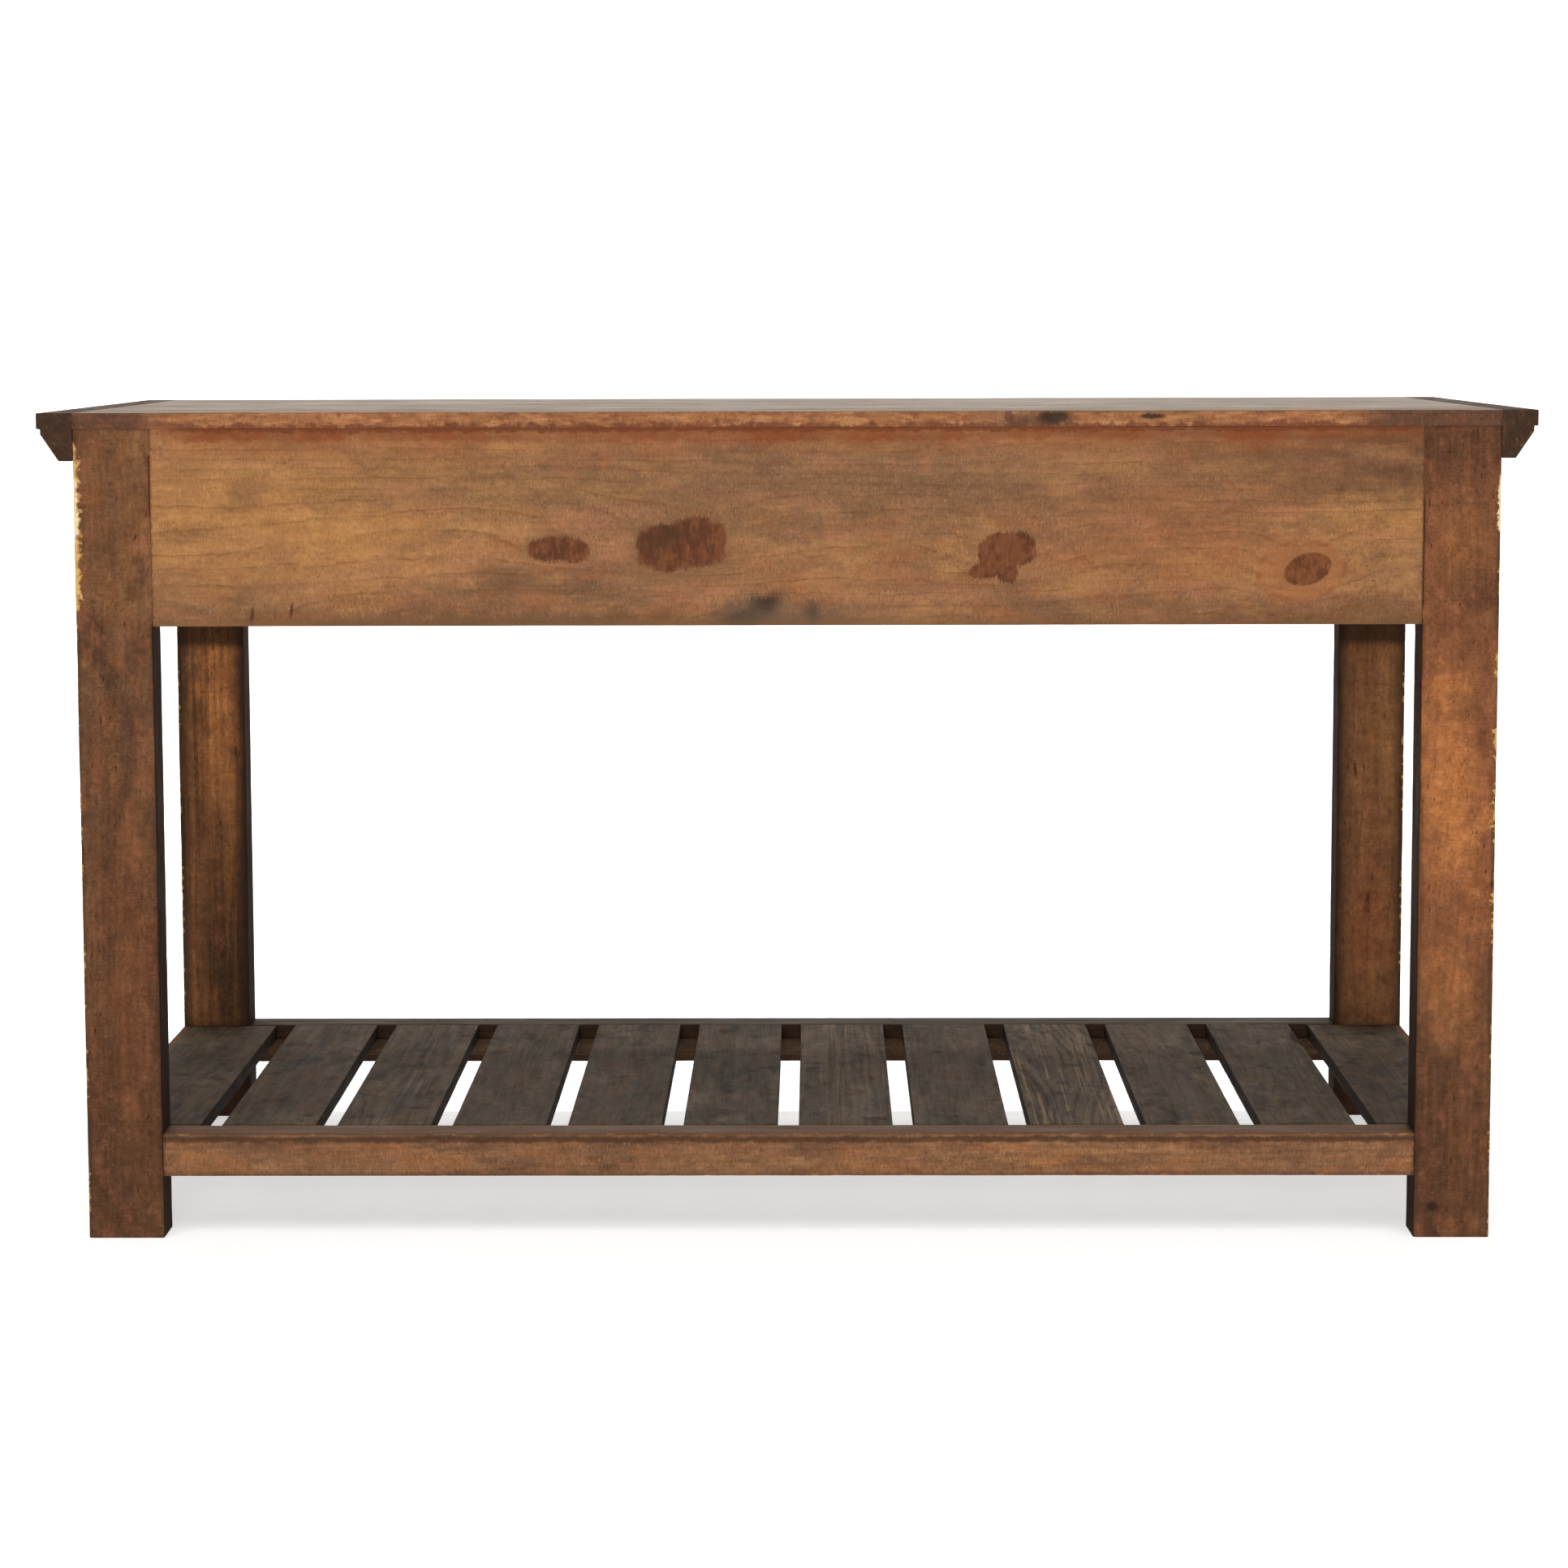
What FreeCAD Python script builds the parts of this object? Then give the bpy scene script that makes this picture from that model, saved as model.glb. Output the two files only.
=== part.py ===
import FreeCAD, Part
import os

# Rustic slatted bench: a boarded worktop on an apron frame, four legs and a
# low slatted shelf. All sizes are in millimetres. The origin is on the floor
# under the middle of the bench, +X is to the right, +Y to the back, +Z up.

Vector = FreeCAD.Vector

# Overall size
LENGTH = 1400.0
DEPTH = 600.0
HEIGHT = 785.0

# Legs
LEG_WIDTH = 72.0
LEG_DEPTH = 45.0
LEG_ARRIS = 2.5
FOOT_CHAMFER = 1.5

# Worktop
TOP_THICKNESS = 15.0
TOP_BOARD_COUNT = 5
TONGUE_LENGTH = 6.0
TONGUE_THICKNESS = 5.0
MOULDING_WIDTH = 33.5
MOULDING_HEIGHT = 45.0
MOULDING_FOOT = 13.0
MOULDING_STEP = 3.8
MOULDING_NECK = 5.0

# Apron frame
APRON_HEIGHT = 185.0
APRON_THICKNESS = 22.0
CLEAT_SIZE = 20.0
BATTEN_WIDTH = 60.0
BATTEN_X = 220.0

# Shelf
STRETCHER_BOTTOM = 60.0
STRETCHER_HEIGHT = 41.0
STRETCHER_DEPTH = 40.0
LEDGER_HEIGHT = 15.0
LEDGER_DEPTH = 20.0
SLAT_COUNT = 12
SLAT_WIDTH = 90.5
SLAT_GAP = 20.5
SLAT_THICKNESS = 15.0
BOARD_ARRIS = 1.5

# Mortise and tenon joints
LONG_TENON = 25.0
SHORT_TENON = 20.0
APRON_TENON_THICKNESS = 8.0
STRETCHER_TENON_THICKNESS = 14.0
APRON_TENON_SHOULDER = 18.0
STRETCHER_TENON_SHOULDER = 8.0

# Countersunk wood screws
SCREW_RADIUS = 2.0
SCREW_HEAD_RADIUS = 4.0
SCREW_HEAD_HEIGHT = 3.0
SCREW_POINT_LENGTH = 4.0
SCREW_POINT_RADIUS = 0.3
RECESS_WIDTH = 1.0
RECESS_LENGTH = 4.4
RECESS_DEPTH = 1.2
SLAT_SCREW_LENGTH = 25.0
SIDE_SCREW_LENGTH = 50.0
LEDGER_SCREW_LENGTH = 40.0
TOP_SCREW_LENGTH = 30.0
CLEAT_SCREW_LENGTH = 36.0
MOULDING_SCREW_LENGTH = 54.0
SLAT_SCREW_OFFSET = 25.0
BATTEN_SCREW_SKEW_X = 15.0
BATTEN_SCREW_SKEW_Y = 10.0

# Places worked out from the sizes above
LEG_OUTER_X = LENGTH / 2 - MOULDING_WIDTH
LEG_INNER_X = LEG_OUTER_X - LEG_WIDTH
FACE_Y = DEPTH / 2
LEG_INNER_Y = FACE_Y - LEG_DEPTH
TOP_UNDERSIDE = HEIGHT - TOP_THICKNESS
APRON_BOTTOM = TOP_UNDERSIDE - APRON_HEIGHT
APRON_INNER_X = LEG_OUTER_X - APRON_THICKNESS
APRON_INNER_Y = FACE_Y - APRON_THICKNESS
CLEAT_BOTTOM = TOP_UNDERSIDE - CLEAT_SIZE
CLEAT_INNER_Y = APRON_INNER_Y - CLEAT_SIZE
CLEAT_INNER_X = APRON_INNER_X - CLEAT_SIZE
SHELF_TOP = STRETCHER_BOTTOM + STRETCHER_HEIGHT
SLAT_BOTTOM = SHELF_TOP - SLAT_THICKNESS
LEDGER_BOTTOM = SLAT_BOTTOM - LEDGER_HEIGHT
STRETCHER_INNER_Y = FACE_Y - STRETCHER_DEPTH
STRETCHER_INNER_X = LEG_OUTER_X - STRETCHER_DEPTH
SIDE_STRETCHER_BOTTOM = SLAT_BOTTOM - STRETCHER_HEIGHT
SLAT_PITCH = SLAT_WIDTH + SLAT_GAP
OUTER_SLAT_INNER_X = (SLAT_COUNT / 2 - 1) * SLAT_PITCH + SLAT_GAP / 2
TOP_BOARD_WIDTH = DEPTH / TOP_BOARD_COUNT

# Rail sections: height, thickness, tenon thickness, shoulder above and below the tenon
APRON = (APRON_HEIGHT, APRON_THICKNESS, APRON_TENON_THICKNESS, APRON_TENON_SHOULDER)
STRETCHER = (STRETCHER_HEIGHT, STRETCHER_DEPTH, STRETCHER_TENON_THICKNESS, STRETCHER_TENON_SHOULDER)

LEFT, RIGHT = -1, 1
FRONT, REAR = -1, 1
ANGLE_TOLERANCE = 1e-6
SIDES_X = {"left": LEFT, "right": RIGHT}
SIDES_Y = {"front": FRONT, "rear": REAR}


def block(corner, opposite):
    """A box between two opposite corners, given in any order."""
    low = Vector(*[min(a, b) for a, b in zip(corner, opposite)])
    high = Vector(*[max(a, b) for a, b in zip(corner, opposite)])
    size = high - low
    return Part.makeBox(size.x, size.y, size.z, low)


def edges_along(shape, direction):
    """The straight edges of a shape that run along a direction."""

    def sideways(edge):
        return edge.tangentAt(edge.FirstParameter).cross(direction).Length

    return [edge for edge in shape.Edges if sideways(edge) < ANGLE_TOLERANCE]


def rounded(shape, direction, radius):
    """The shape with its edges along a direction rounded over."""
    return shape.makeFillet(radius, edges_along(shape, direction))


def evenly(half_span, count):
    """Evenly spaced places from -half_span to +half_span."""
    return [half_span * (2 * index / (count - 1) - 1) for index in range(count)]


def screw_body(length):
    """A countersunk screw with its head at the origin, pointing along +Z."""
    head = Part.makeCone(SCREW_HEAD_RADIUS, SCREW_RADIUS, SCREW_HEAD_HEIGHT)
    shank_length = length - SCREW_HEAD_HEIGHT - SCREW_POINT_LENGTH
    shank = Part.makeCylinder(SCREW_RADIUS, shank_length, Vector(0, 0, SCREW_HEAD_HEIGHT))
    point_start = Vector(0, 0, length - SCREW_POINT_LENGTH)
    point = Part.makeCone(SCREW_RADIUS, SCREW_POINT_RADIUS, SCREW_POINT_LENGTH, point_start)
    return head.fuse([shank, point]).removeSplitter()


def screw_with_recess(length):
    """The same screw with a crossed driver recess in its head."""
    half_length = RECESS_LENGTH / 2
    half_width = RECESS_WIDTH / 2
    slot = block((-half_length, -half_width, 0), (half_length, half_width, RECESS_DEPTH))
    cross_slot = block((-half_width, -half_length, 0), (half_width, half_length, RECESS_DEPTH))
    return screw_body(length).cut([slot, cross_slot])


def screws_at(shape, places, direction):
    """Copies of a screw with their heads at the places, all pointing one way."""
    turn = FreeCAD.Rotation(Vector(0, 0, 1), Vector(*direction))
    copies = []
    for place in places:
        copy = shape.copy()
        copy.Placement = FreeCAD.Placement(Vector(*place), turn)
        copies.append(copy)
    return copies


class ScrewSet:
    """Equal screws that share one node, and the holes that they fill."""

    def __init__(self, length):
        self.length = length
        self.solids = []
        self.holes = []

    def add(self, places, direction):
        self.solids += screws_at(screw_with_recess(self.length), places, direction)
        self.holes += screws_at(screw_body(self.length), places, direction)


def slat_centre_x(index):
    """The middle of a slat, counted from the left end."""
    return (index - (SLAT_COUNT - 1) / 2) * SLAT_PITCH


def slat_screws():
    """From below, through the ledgers into the slats."""
    ledger_middle_y = STRETCHER_INNER_Y - LEDGER_DEPTH / 2
    outer_x = (OUTER_SLAT_INNER_X + LEG_INNER_X) / 2
    places_x = [-outer_x, outer_x]
    for index in range(1, SLAT_COUNT - 1):
        centre = slat_centre_x(index)
        places_x += [centre - SLAT_SCREW_OFFSET, centre + SLAT_SCREW_OFFSET]
    screws = ScrewSet(SLAT_SCREW_LENGTH)
    for side in SIDES_Y.values():
        screws.add([(x, side * ledger_middle_y, LEDGER_BOTTOM) for x in places_x], (0, 0, 1))
    return screws


def outer_slat_screws():
    """From below, through the side stretchers into the two outer slats."""
    middle_x = LEG_OUTER_X - STRETCHER_DEPTH / 2
    screws = ScrewSet(SIDE_SCREW_LENGTH)
    for side in SIDES_X.values():
        places = [(side * middle_x, y, SIDE_STRETCHER_BOTTOM) for y in evenly(150.0, 3)]
        screws.add(places, (0, 0, 1))
    return screws


def ledger_screws():
    """Through the ledgers into the front and rear stretchers, behind every second slat."""
    middle_z = LEDGER_BOTTOM + LEDGER_HEIGHT / 2
    face_y = STRETCHER_INNER_Y - LEDGER_DEPTH
    screws = ScrewSet(LEDGER_SCREW_LENGTH)
    for side in SIDES_Y.values():
        places = [(slat_centre_x(index), side * face_y, middle_z) for index in range(1, SLAT_COUNT - 1, 2)]
        screws.add(places, (0, side, 0))
    return screws


def top_screws():
    """From below, through the cleats and battens into the top boards."""
    cleat_middle_y = APRON_INNER_Y - CLEAT_SIZE / 2
    cleat_middle_x = APRON_INNER_X - CLEAT_SIZE / 2
    places = []
    for side in SIDES_Y.values():
        places += [(x, side * cleat_middle_y, CLEAT_BOTTOM) for x in evenly(540.0, 7)]
    for board in range(TOP_BOARD_COUNT):
        board_y = (board + 0.5) * TOP_BOARD_WIDTH - FACE_Y
        for side in SIDES_X.values():
            places.append((side * cleat_middle_x, board_y, CLEAT_BOTTOM))
            for skew in (-1, 1):
                x = side * BATTEN_X + skew * BATTEN_SCREW_SKEW_X
                places.append((x, board_y + skew * BATTEN_SCREW_SKEW_Y, CLEAT_BOTTOM))
    screws = ScrewSet(TOP_SCREW_LENGTH)
    screws.add(places, (0, 0, 1))
    return screws


def cleat_screws():
    """Through the long cleats into the front and rear aprons."""
    middle_z = CLEAT_BOTTOM + CLEAT_SIZE / 2
    screws = ScrewSet(CLEAT_SCREW_LENGTH)
    for side in SIDES_Y.values():
        screws.add([(x, side * CLEAT_INNER_Y, middle_z) for x in evenly(450.0, 6)], (0, side, 0))
    return screws


def moulding_screws():
    """Through the side cleats and side aprons into the end mouldings."""
    middle_z = CLEAT_BOTTOM + CLEAT_SIZE / 2
    screws = ScrewSet(MOULDING_SCREW_LENGTH)
    for side in SIDES_X.values():
        screws.add([(side * CLEAT_INNER_X, y, middle_z) for y in evenly(180.0, 4)], (side, 0, 0))
    return screws


def drilled(shape, holes):
    """The shape with a hole for each screw that reaches it."""
    reaching = [hole for hole in holes if hole.BoundBox.intersect(shape.BoundBox)]
    return shape.cut(reaching) if reaching else shape


def tenoned_rail(axis, side, bottom, section):
    """A rail between two legs, flush with their outer faces, with a tenon at each end."""
    if axis == "x":
        half_span, outer, tenon_length = LEG_INNER_X, FACE_Y, LONG_TENON
    else:
        half_span, outer, tenon_length = LEG_INNER_Y, LEG_OUTER_X, SHORT_TENON

    def corner(along, across, z):
        return (along, side * across, z) if axis == "x" else (side * across, along, z)

    height, thickness, tenon_thickness, shoulder = section
    top = bottom + height
    board = block(corner(-half_span, outer, bottom), corner(half_span, outer - thickness, top))
    board = rounded(board, Vector(*corner(1, 0, 0)), BOARD_ARRIS)
    tenon_end = half_span + tenon_length
    tenon_outer = outer - (thickness - tenon_thickness) / 2
    tenon_inner = tenon_outer - tenon_thickness
    tenons = block(
        corner(-tenon_end, tenon_outer, bottom + shoulder),
        corner(tenon_end, tenon_inner, top - shoulder),
    )
    return board.fuse(tenons).removeSplitter()


def leg_blank(side_x, side_y):
    """The square post that a leg is cut from."""
    outer = (side_x * LEG_OUTER_X, side_y * FACE_Y, 0)
    inner = (side_x * LEG_INNER_X, side_y * LEG_INNER_Y, TOP_UNDERSIDE)
    return block(outer, inner)


def leg(side_x, side_y, rails):
    """A leg with rounded arrises, a chamfered foot and a mortise for each rail."""
    post = rounded(leg_blank(side_x, side_y), Vector(0, 0, 1), LEG_ARRIS)
    foot_edges = [edge for edge in post.Edges if edge.BoundBox.ZMax < FOOT_CHAMFER]
    post = post.makeChamfer(FOOT_CHAMFER, foot_edges)
    return post.cut(rails)


def tongue(index):
    """The tongue on the rear edge of a top board."""
    edge_y = (index + 1) * TOP_BOARD_WIDTH - FACE_Y
    bottom = TOP_UNDERSIDE + (TOP_THICKNESS - TONGUE_THICKNESS) / 2
    start = (-LEG_OUTER_X, edge_y, bottom)
    end = (LEG_OUTER_X, edge_y + TONGUE_LENGTH, bottom + TONGUE_THICKNESS)
    return block(start, end)


def top_board(index):
    """One board of the worktop, tongued and grooved to its neighbours."""
    front_y = index * TOP_BOARD_WIDTH - FACE_Y
    start = (-LEG_OUTER_X, front_y, TOP_UNDERSIDE)
    end = (LEG_OUTER_X, front_y + TOP_BOARD_WIDTH, HEIGHT)
    board = block(start, end)
    if index < TOP_BOARD_COUNT - 1:
        board = board.fuse(tongue(index)).removeSplitter()
    if index > 0:
        board = board.cut(tongue(index - 1))
    return board


def end_moulding(side):
    """The stepped and bevelled strip that covers the end grain of the top."""
    bottom = HEIGHT - MOULDING_HEIGHT
    neck_x = MOULDING_WIDTH - MOULDING_STEP
    outline = [
        (0, bottom),
        (MOULDING_FOOT, bottom),
        (neck_x, TOP_UNDERSIDE - MOULDING_NECK),
        (neck_x, TOP_UNDERSIDE),
        (MOULDING_WIDTH, TOP_UNDERSIDE),
        (MOULDING_WIDTH, HEIGHT),
        (0, HEIGHT),
    ]
    points = [Vector(side * (LEG_OUTER_X + x), -FACE_Y, z) for x, z in outline]
    profile = Part.Face(Part.makePolygon(points + [points[0]]))
    return profile.extrude(Vector(0, DEPTH, 0))


def long_cleat(side):
    """Strip along the inside of the front or rear apron, under the top."""
    start = (-LEG_INNER_X, side * APRON_INNER_Y, CLEAT_BOTTOM)
    end = (LEG_INNER_X, side * CLEAT_INNER_Y, TOP_UNDERSIDE)
    return block(start, end)


def side_cleat(side):
    """Strip along the inside of the left or right apron, under the top."""
    start = (side * APRON_INNER_X, -LEG_INNER_Y, CLEAT_BOTTOM)
    end = (side * CLEAT_INNER_X, LEG_INNER_Y, TOP_UNDERSIDE)
    return block(start, end)


def cross_batten(side):
    """Batten across the underside of the top boards."""
    half_width = BATTEN_WIDTH / 2
    start = (side * BATTEN_X - half_width, -CLEAT_INNER_Y, CLEAT_BOTTOM)
    end = (side * BATTEN_X + half_width, CLEAT_INNER_Y, TOP_UNDERSIDE)
    return block(start, end)


def slat_ledger(side):
    """Strip on the inside of the front or rear stretcher that carries the slats."""
    start = (-LEG_INNER_X, side * STRETCHER_INNER_Y, LEDGER_BOTTOM)
    end = (LEG_INNER_X, side * (STRETCHER_INNER_Y - LEDGER_DEPTH), SLAT_BOTTOM)
    return block(start, end)


def slat(index):
    """A shelf slat; the outer two reach over the side stretchers, round the legs."""
    if 0 < index < SLAT_COUNT - 1:
        low_x = slat_centre_x(index) - SLAT_WIDTH / 2
        high_x = low_x + SLAT_WIDTH
    else:
        side = LEFT if index == 0 else RIGHT
        low_x, high_x = sorted((side * OUTER_SLAT_INNER_X, side * LEG_OUTER_X))
    board = block((low_x, -STRETCHER_INNER_Y, SLAT_BOTTOM), (high_x, STRETCHER_INNER_Y, SHELF_TOP))
    board = rounded(board, Vector(0, 1, 0), BOARD_ARRIS)
    legs = [leg_blank(side_x, side_y) for side_x in SIDES_X.values() for side_y in SIDES_Y.values()]
    return board.cut(legs)


def build_nodes():
    """Every sub-part of the bench, by node name."""
    nodes = {}
    for name, side in SIDES_Y.items():
        nodes["apron_" + name] = tenoned_rail("x", side, APRON_BOTTOM, APRON)
        nodes["stretcher_" + name] = tenoned_rail("x", side, STRETCHER_BOTTOM, STRETCHER)
        nodes["top_cleat_" + name] = long_cleat(side)
        nodes["slat_ledger_" + name] = slat_ledger(side)
    for name, side in SIDES_X.items():
        nodes["apron_" + name] = tenoned_rail("y", side, APRON_BOTTOM, APRON)
        nodes["stretcher_" + name] = tenoned_rail("y", side, SIDE_STRETCHER_BOTTOM, STRETCHER)
        nodes["top_cleat_" + name] = side_cleat(side)
        nodes["cross_batten_" + name] = cross_batten(side)
        nodes["end_moulding_" + name] = end_moulding(side)
    for name_y, side_y in SIDES_Y.items():
        for name_x, side_x in SIDES_X.items():
            rails = [nodes[kind + name] for kind in ("apron_", "stretcher_") for name in (name_x, name_y)]
            nodes["leg_" + name_y + "_" + name_x] = leg(side_x, side_y, rails)
    for index in range(TOP_BOARD_COUNT):
        nodes["top_board_" + str(index + 1)] = top_board(index)
    for index in range(SLAT_COUNT):
        nodes["slat_" + str(index + 1).zfill(2)] = slat(index)

    screw_sets = {
        "slat_screws": slat_screws(),
        "outer_slat_screws": outer_slat_screws(),
        "ledger_screws": ledger_screws(),
        "top_screws": top_screws(),
        "cleat_screws": cleat_screws(),
        "moulding_screws": moulding_screws(),
    }
    holes = [hole for screws in screw_sets.values() for hole in screws.holes]
    nodes = {name: drilled(shape, holes) for name, shape in nodes.items()}
    for name, screws in screw_sets.items():
        nodes[name] = Part.makeCompound(screws.solids)
    return nodes


def main():
    os.makedirs("parts", exist_ok=True)
    for name, shape in build_nodes().items():
        shape.exportStep("parts/" + name + ".step")
        print(name, len(shape.Solids), "solids, valid:", shape.isValid())


main()
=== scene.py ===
import math

import bpy
import numpy as np
from mathutils import Euler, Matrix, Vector


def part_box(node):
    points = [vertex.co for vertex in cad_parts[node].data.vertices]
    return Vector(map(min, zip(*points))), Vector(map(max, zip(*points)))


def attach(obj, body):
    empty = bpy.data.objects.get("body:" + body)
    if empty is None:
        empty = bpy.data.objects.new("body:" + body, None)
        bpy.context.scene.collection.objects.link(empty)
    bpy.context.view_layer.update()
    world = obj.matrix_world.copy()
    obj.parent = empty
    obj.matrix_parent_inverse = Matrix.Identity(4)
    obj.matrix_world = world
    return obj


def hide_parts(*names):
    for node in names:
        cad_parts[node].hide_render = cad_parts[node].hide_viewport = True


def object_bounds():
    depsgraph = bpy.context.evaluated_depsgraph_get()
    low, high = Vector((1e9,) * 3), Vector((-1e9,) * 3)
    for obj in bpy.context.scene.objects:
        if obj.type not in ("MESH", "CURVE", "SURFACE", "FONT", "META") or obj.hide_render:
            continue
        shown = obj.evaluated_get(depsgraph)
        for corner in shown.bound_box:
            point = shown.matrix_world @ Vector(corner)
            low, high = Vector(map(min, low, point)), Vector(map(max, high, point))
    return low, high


# A rustic slatted bench in stained and rubbed pine. Every board is a mesh of its own, lofted along its
# grain with worn arrises, and stands for the CAD node of the same name. All sizes are in metres.

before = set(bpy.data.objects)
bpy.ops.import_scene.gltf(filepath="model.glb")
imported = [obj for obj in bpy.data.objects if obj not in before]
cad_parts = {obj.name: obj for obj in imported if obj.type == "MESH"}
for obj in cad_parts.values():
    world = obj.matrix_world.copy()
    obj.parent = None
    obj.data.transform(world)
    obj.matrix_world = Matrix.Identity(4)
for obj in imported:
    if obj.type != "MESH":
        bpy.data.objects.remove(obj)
cad_low, cad_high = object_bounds()

X, Y, Z = 0, 1, 2
MM = 0.001

# Places that the pieces and their marks keep to
TOP_FACE = cad_high[Z]
TOP_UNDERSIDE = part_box("leg_front_left")[1][Z]
APRON_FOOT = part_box("apron_front")[0][Z]
LEG_INNER_X = abs(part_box("leg_front_left")[1][X])
LEG_INNER_Y = abs(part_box("leg_front_left")[1][Y])

# Mesh density: between rings, along a flat side, round a corner, round an end, and over an end's cap
RING_STEP = 4 * MM
FLAT_STEP = 8 * MM
ARC_STEPS = 5
END_STEPS = 3
CAP_SCALES = (0.85, 0.5, 0.2)

# The arris of two boards that lie flush, and the length over which it becomes so tight
TIGHT_ARRIS, TIGHTENING = 0.25 * MM, 8 * MM

# Sizes of the wear: worn stretches and nicks along an arris; dips and dents along a face and round it
WORN_STRETCH, NICK = 70 * MM, 11 * MM
DIP, DENT = (60 * MM, 20 * MM), (15 * MM, 12 * MM)
DIPS_FADE = 20 * MM

# The first shape seed of each kind of board, and the step from one board to the next
LEG_SEEDS = (11, 7)
RAIL_SEEDS = (41, 5)
TOP_SEEDS = (71, 3)
MOULDING_SEED = 91
SLAT_SEEDS = (101, 4)
STRIP_SEEDS = (151, 3)


# ---------------------------------------------------------------- noise for shapes

def smooth_noise(points, seed):
    """Value noise from -1 to 1 at points of shape (n, 3), with one cell to each unit.

    Each cell corner gets its value from an integer hash, so the same seed always gives the same shape."""
    cell = np.floor(points).astype(np.int64)
    part = points - cell
    part = part * part * (3 - 2 * part)
    total = np.zeros(len(points))
    for corner in np.ndindex(2, 2, 2):
        index = cell + corner
        mixed = index[:, 0] * 73856093 ^ index[:, 1] * 19349663 ^ index[:, 2] * 83492791 ^ seed * 29711
        mixed = (mixed ^ (mixed >> 13)) * 1274126177 & 0x7FFFFFFF
        mixed = (mixed ^ (mixed >> 15)) * 668265263 & 0x7FFFFFFF
        weight = np.prod(np.where(np.array(corner) == 1, part, 1 - part), axis=1)
        total += weight * (mixed / 0x3FFFFFFF - 1)
    return total


def grid_noise(first, second, seed):
    """Value noise at two coordinate arrays of one shape."""
    flat = np.stack([first.ravel(), second.ravel(), np.full(first.size, 0.5)], axis=1)
    return smooth_noise(flat, seed).reshape(first.shape)


# ---------------------------------------------------------------- timber meshes

class Section:
    """A board's cross-section: a polygon, anticlockwise, whose corners are rounded ring by ring."""

    def __init__(self, polygon, middle=(0, 0)):
        self.polygon = np.array(polygon, float)
        self.middle = np.array(middle, float)
        following = np.roll(self.polygon, -1, axis=0)
        out = following - self.polygon
        span = np.linalg.norm(out, axis=1)
        out /= span[:, None]
        into = np.roll(out, 1, axis=0)
        turn = np.arctan2(into[:, 0] * out[:, 1] - into[:, 1] * out[:, 0], (into * out).sum(axis=1))
        self.into, self.out, self.turn, self.span = into, out, turn, span
        corners, steps, nexts, shares = [], [], [], []
        for corner in range(len(self.polygon)):
            count = max(1, round(span[corner] / FLAT_STEP) - 1)
            after = (corner + 1) % len(self.polygon)
            for step in range(ARC_STEPS + 1):
                corners.append(corner)
                steps.append(step / ARC_STEPS)
                nexts.append(after)
                shares.append(0.0)
            for step in range(count):
                corners.append(corner)
                steps.append(1.0)
                nexts.append(after)
                shares.append((step + 1) / (count + 1))
        self.corners, self.steps = np.array(corners), np.array(steps)
        self.nexts, self.shares = np.array(nexts), np.array(shares)
        self.normals = self.outward(self.corners, self.steps)

    def outward(self, corners, steps):
        """The outward normal at a share of the way round each corner."""
        angle = self.turn[corners] * steps
        normal = np.stack([self.into[corners, 1], -self.into[corners, 0]], axis=1)
        cos, sin = np.cos(angle), np.sin(angle)
        first = normal[:, 0] * cos - normal[:, 1] * sin
        second = normal[:, 0] * sin + normal[:, 1] * cos
        return np.stack([first, second], axis=1)

    def arc_points(self, corners, steps, radii):
        """Points on the rounded corners, for radii of shape (rings, corners of the polygon)."""
        radius = radii[:, corners][..., None]
        side = np.sign(self.turn[corners])[:, None]
        cut_back = radius * np.tan(np.abs(self.turn[corners]) / 2)[:, None]
        start = self.polygon[corners] - self.into[corners] * cut_back
        centre = start - self.outward(corners, 0 * steps) * radius * side
        return centre + self.outward(corners, steps) * radius * side

    def outline(self, radii):
        """The outline of each ring, of shape (rings, points, 2)."""
        here = self.arc_points(self.corners, self.steps, radii)
        there = self.arc_points(self.nexts, np.zeros(len(self.nexts)), radii)
        return here + (there - here) * self.shares[None, :, None]


def rectangle(width, thickness):
    half_u, half_v = width / 2, thickness / 2
    return Section([(half_u, half_v), (-half_u, half_v), (-half_u, -half_v), (half_u, -half_v)])


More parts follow.
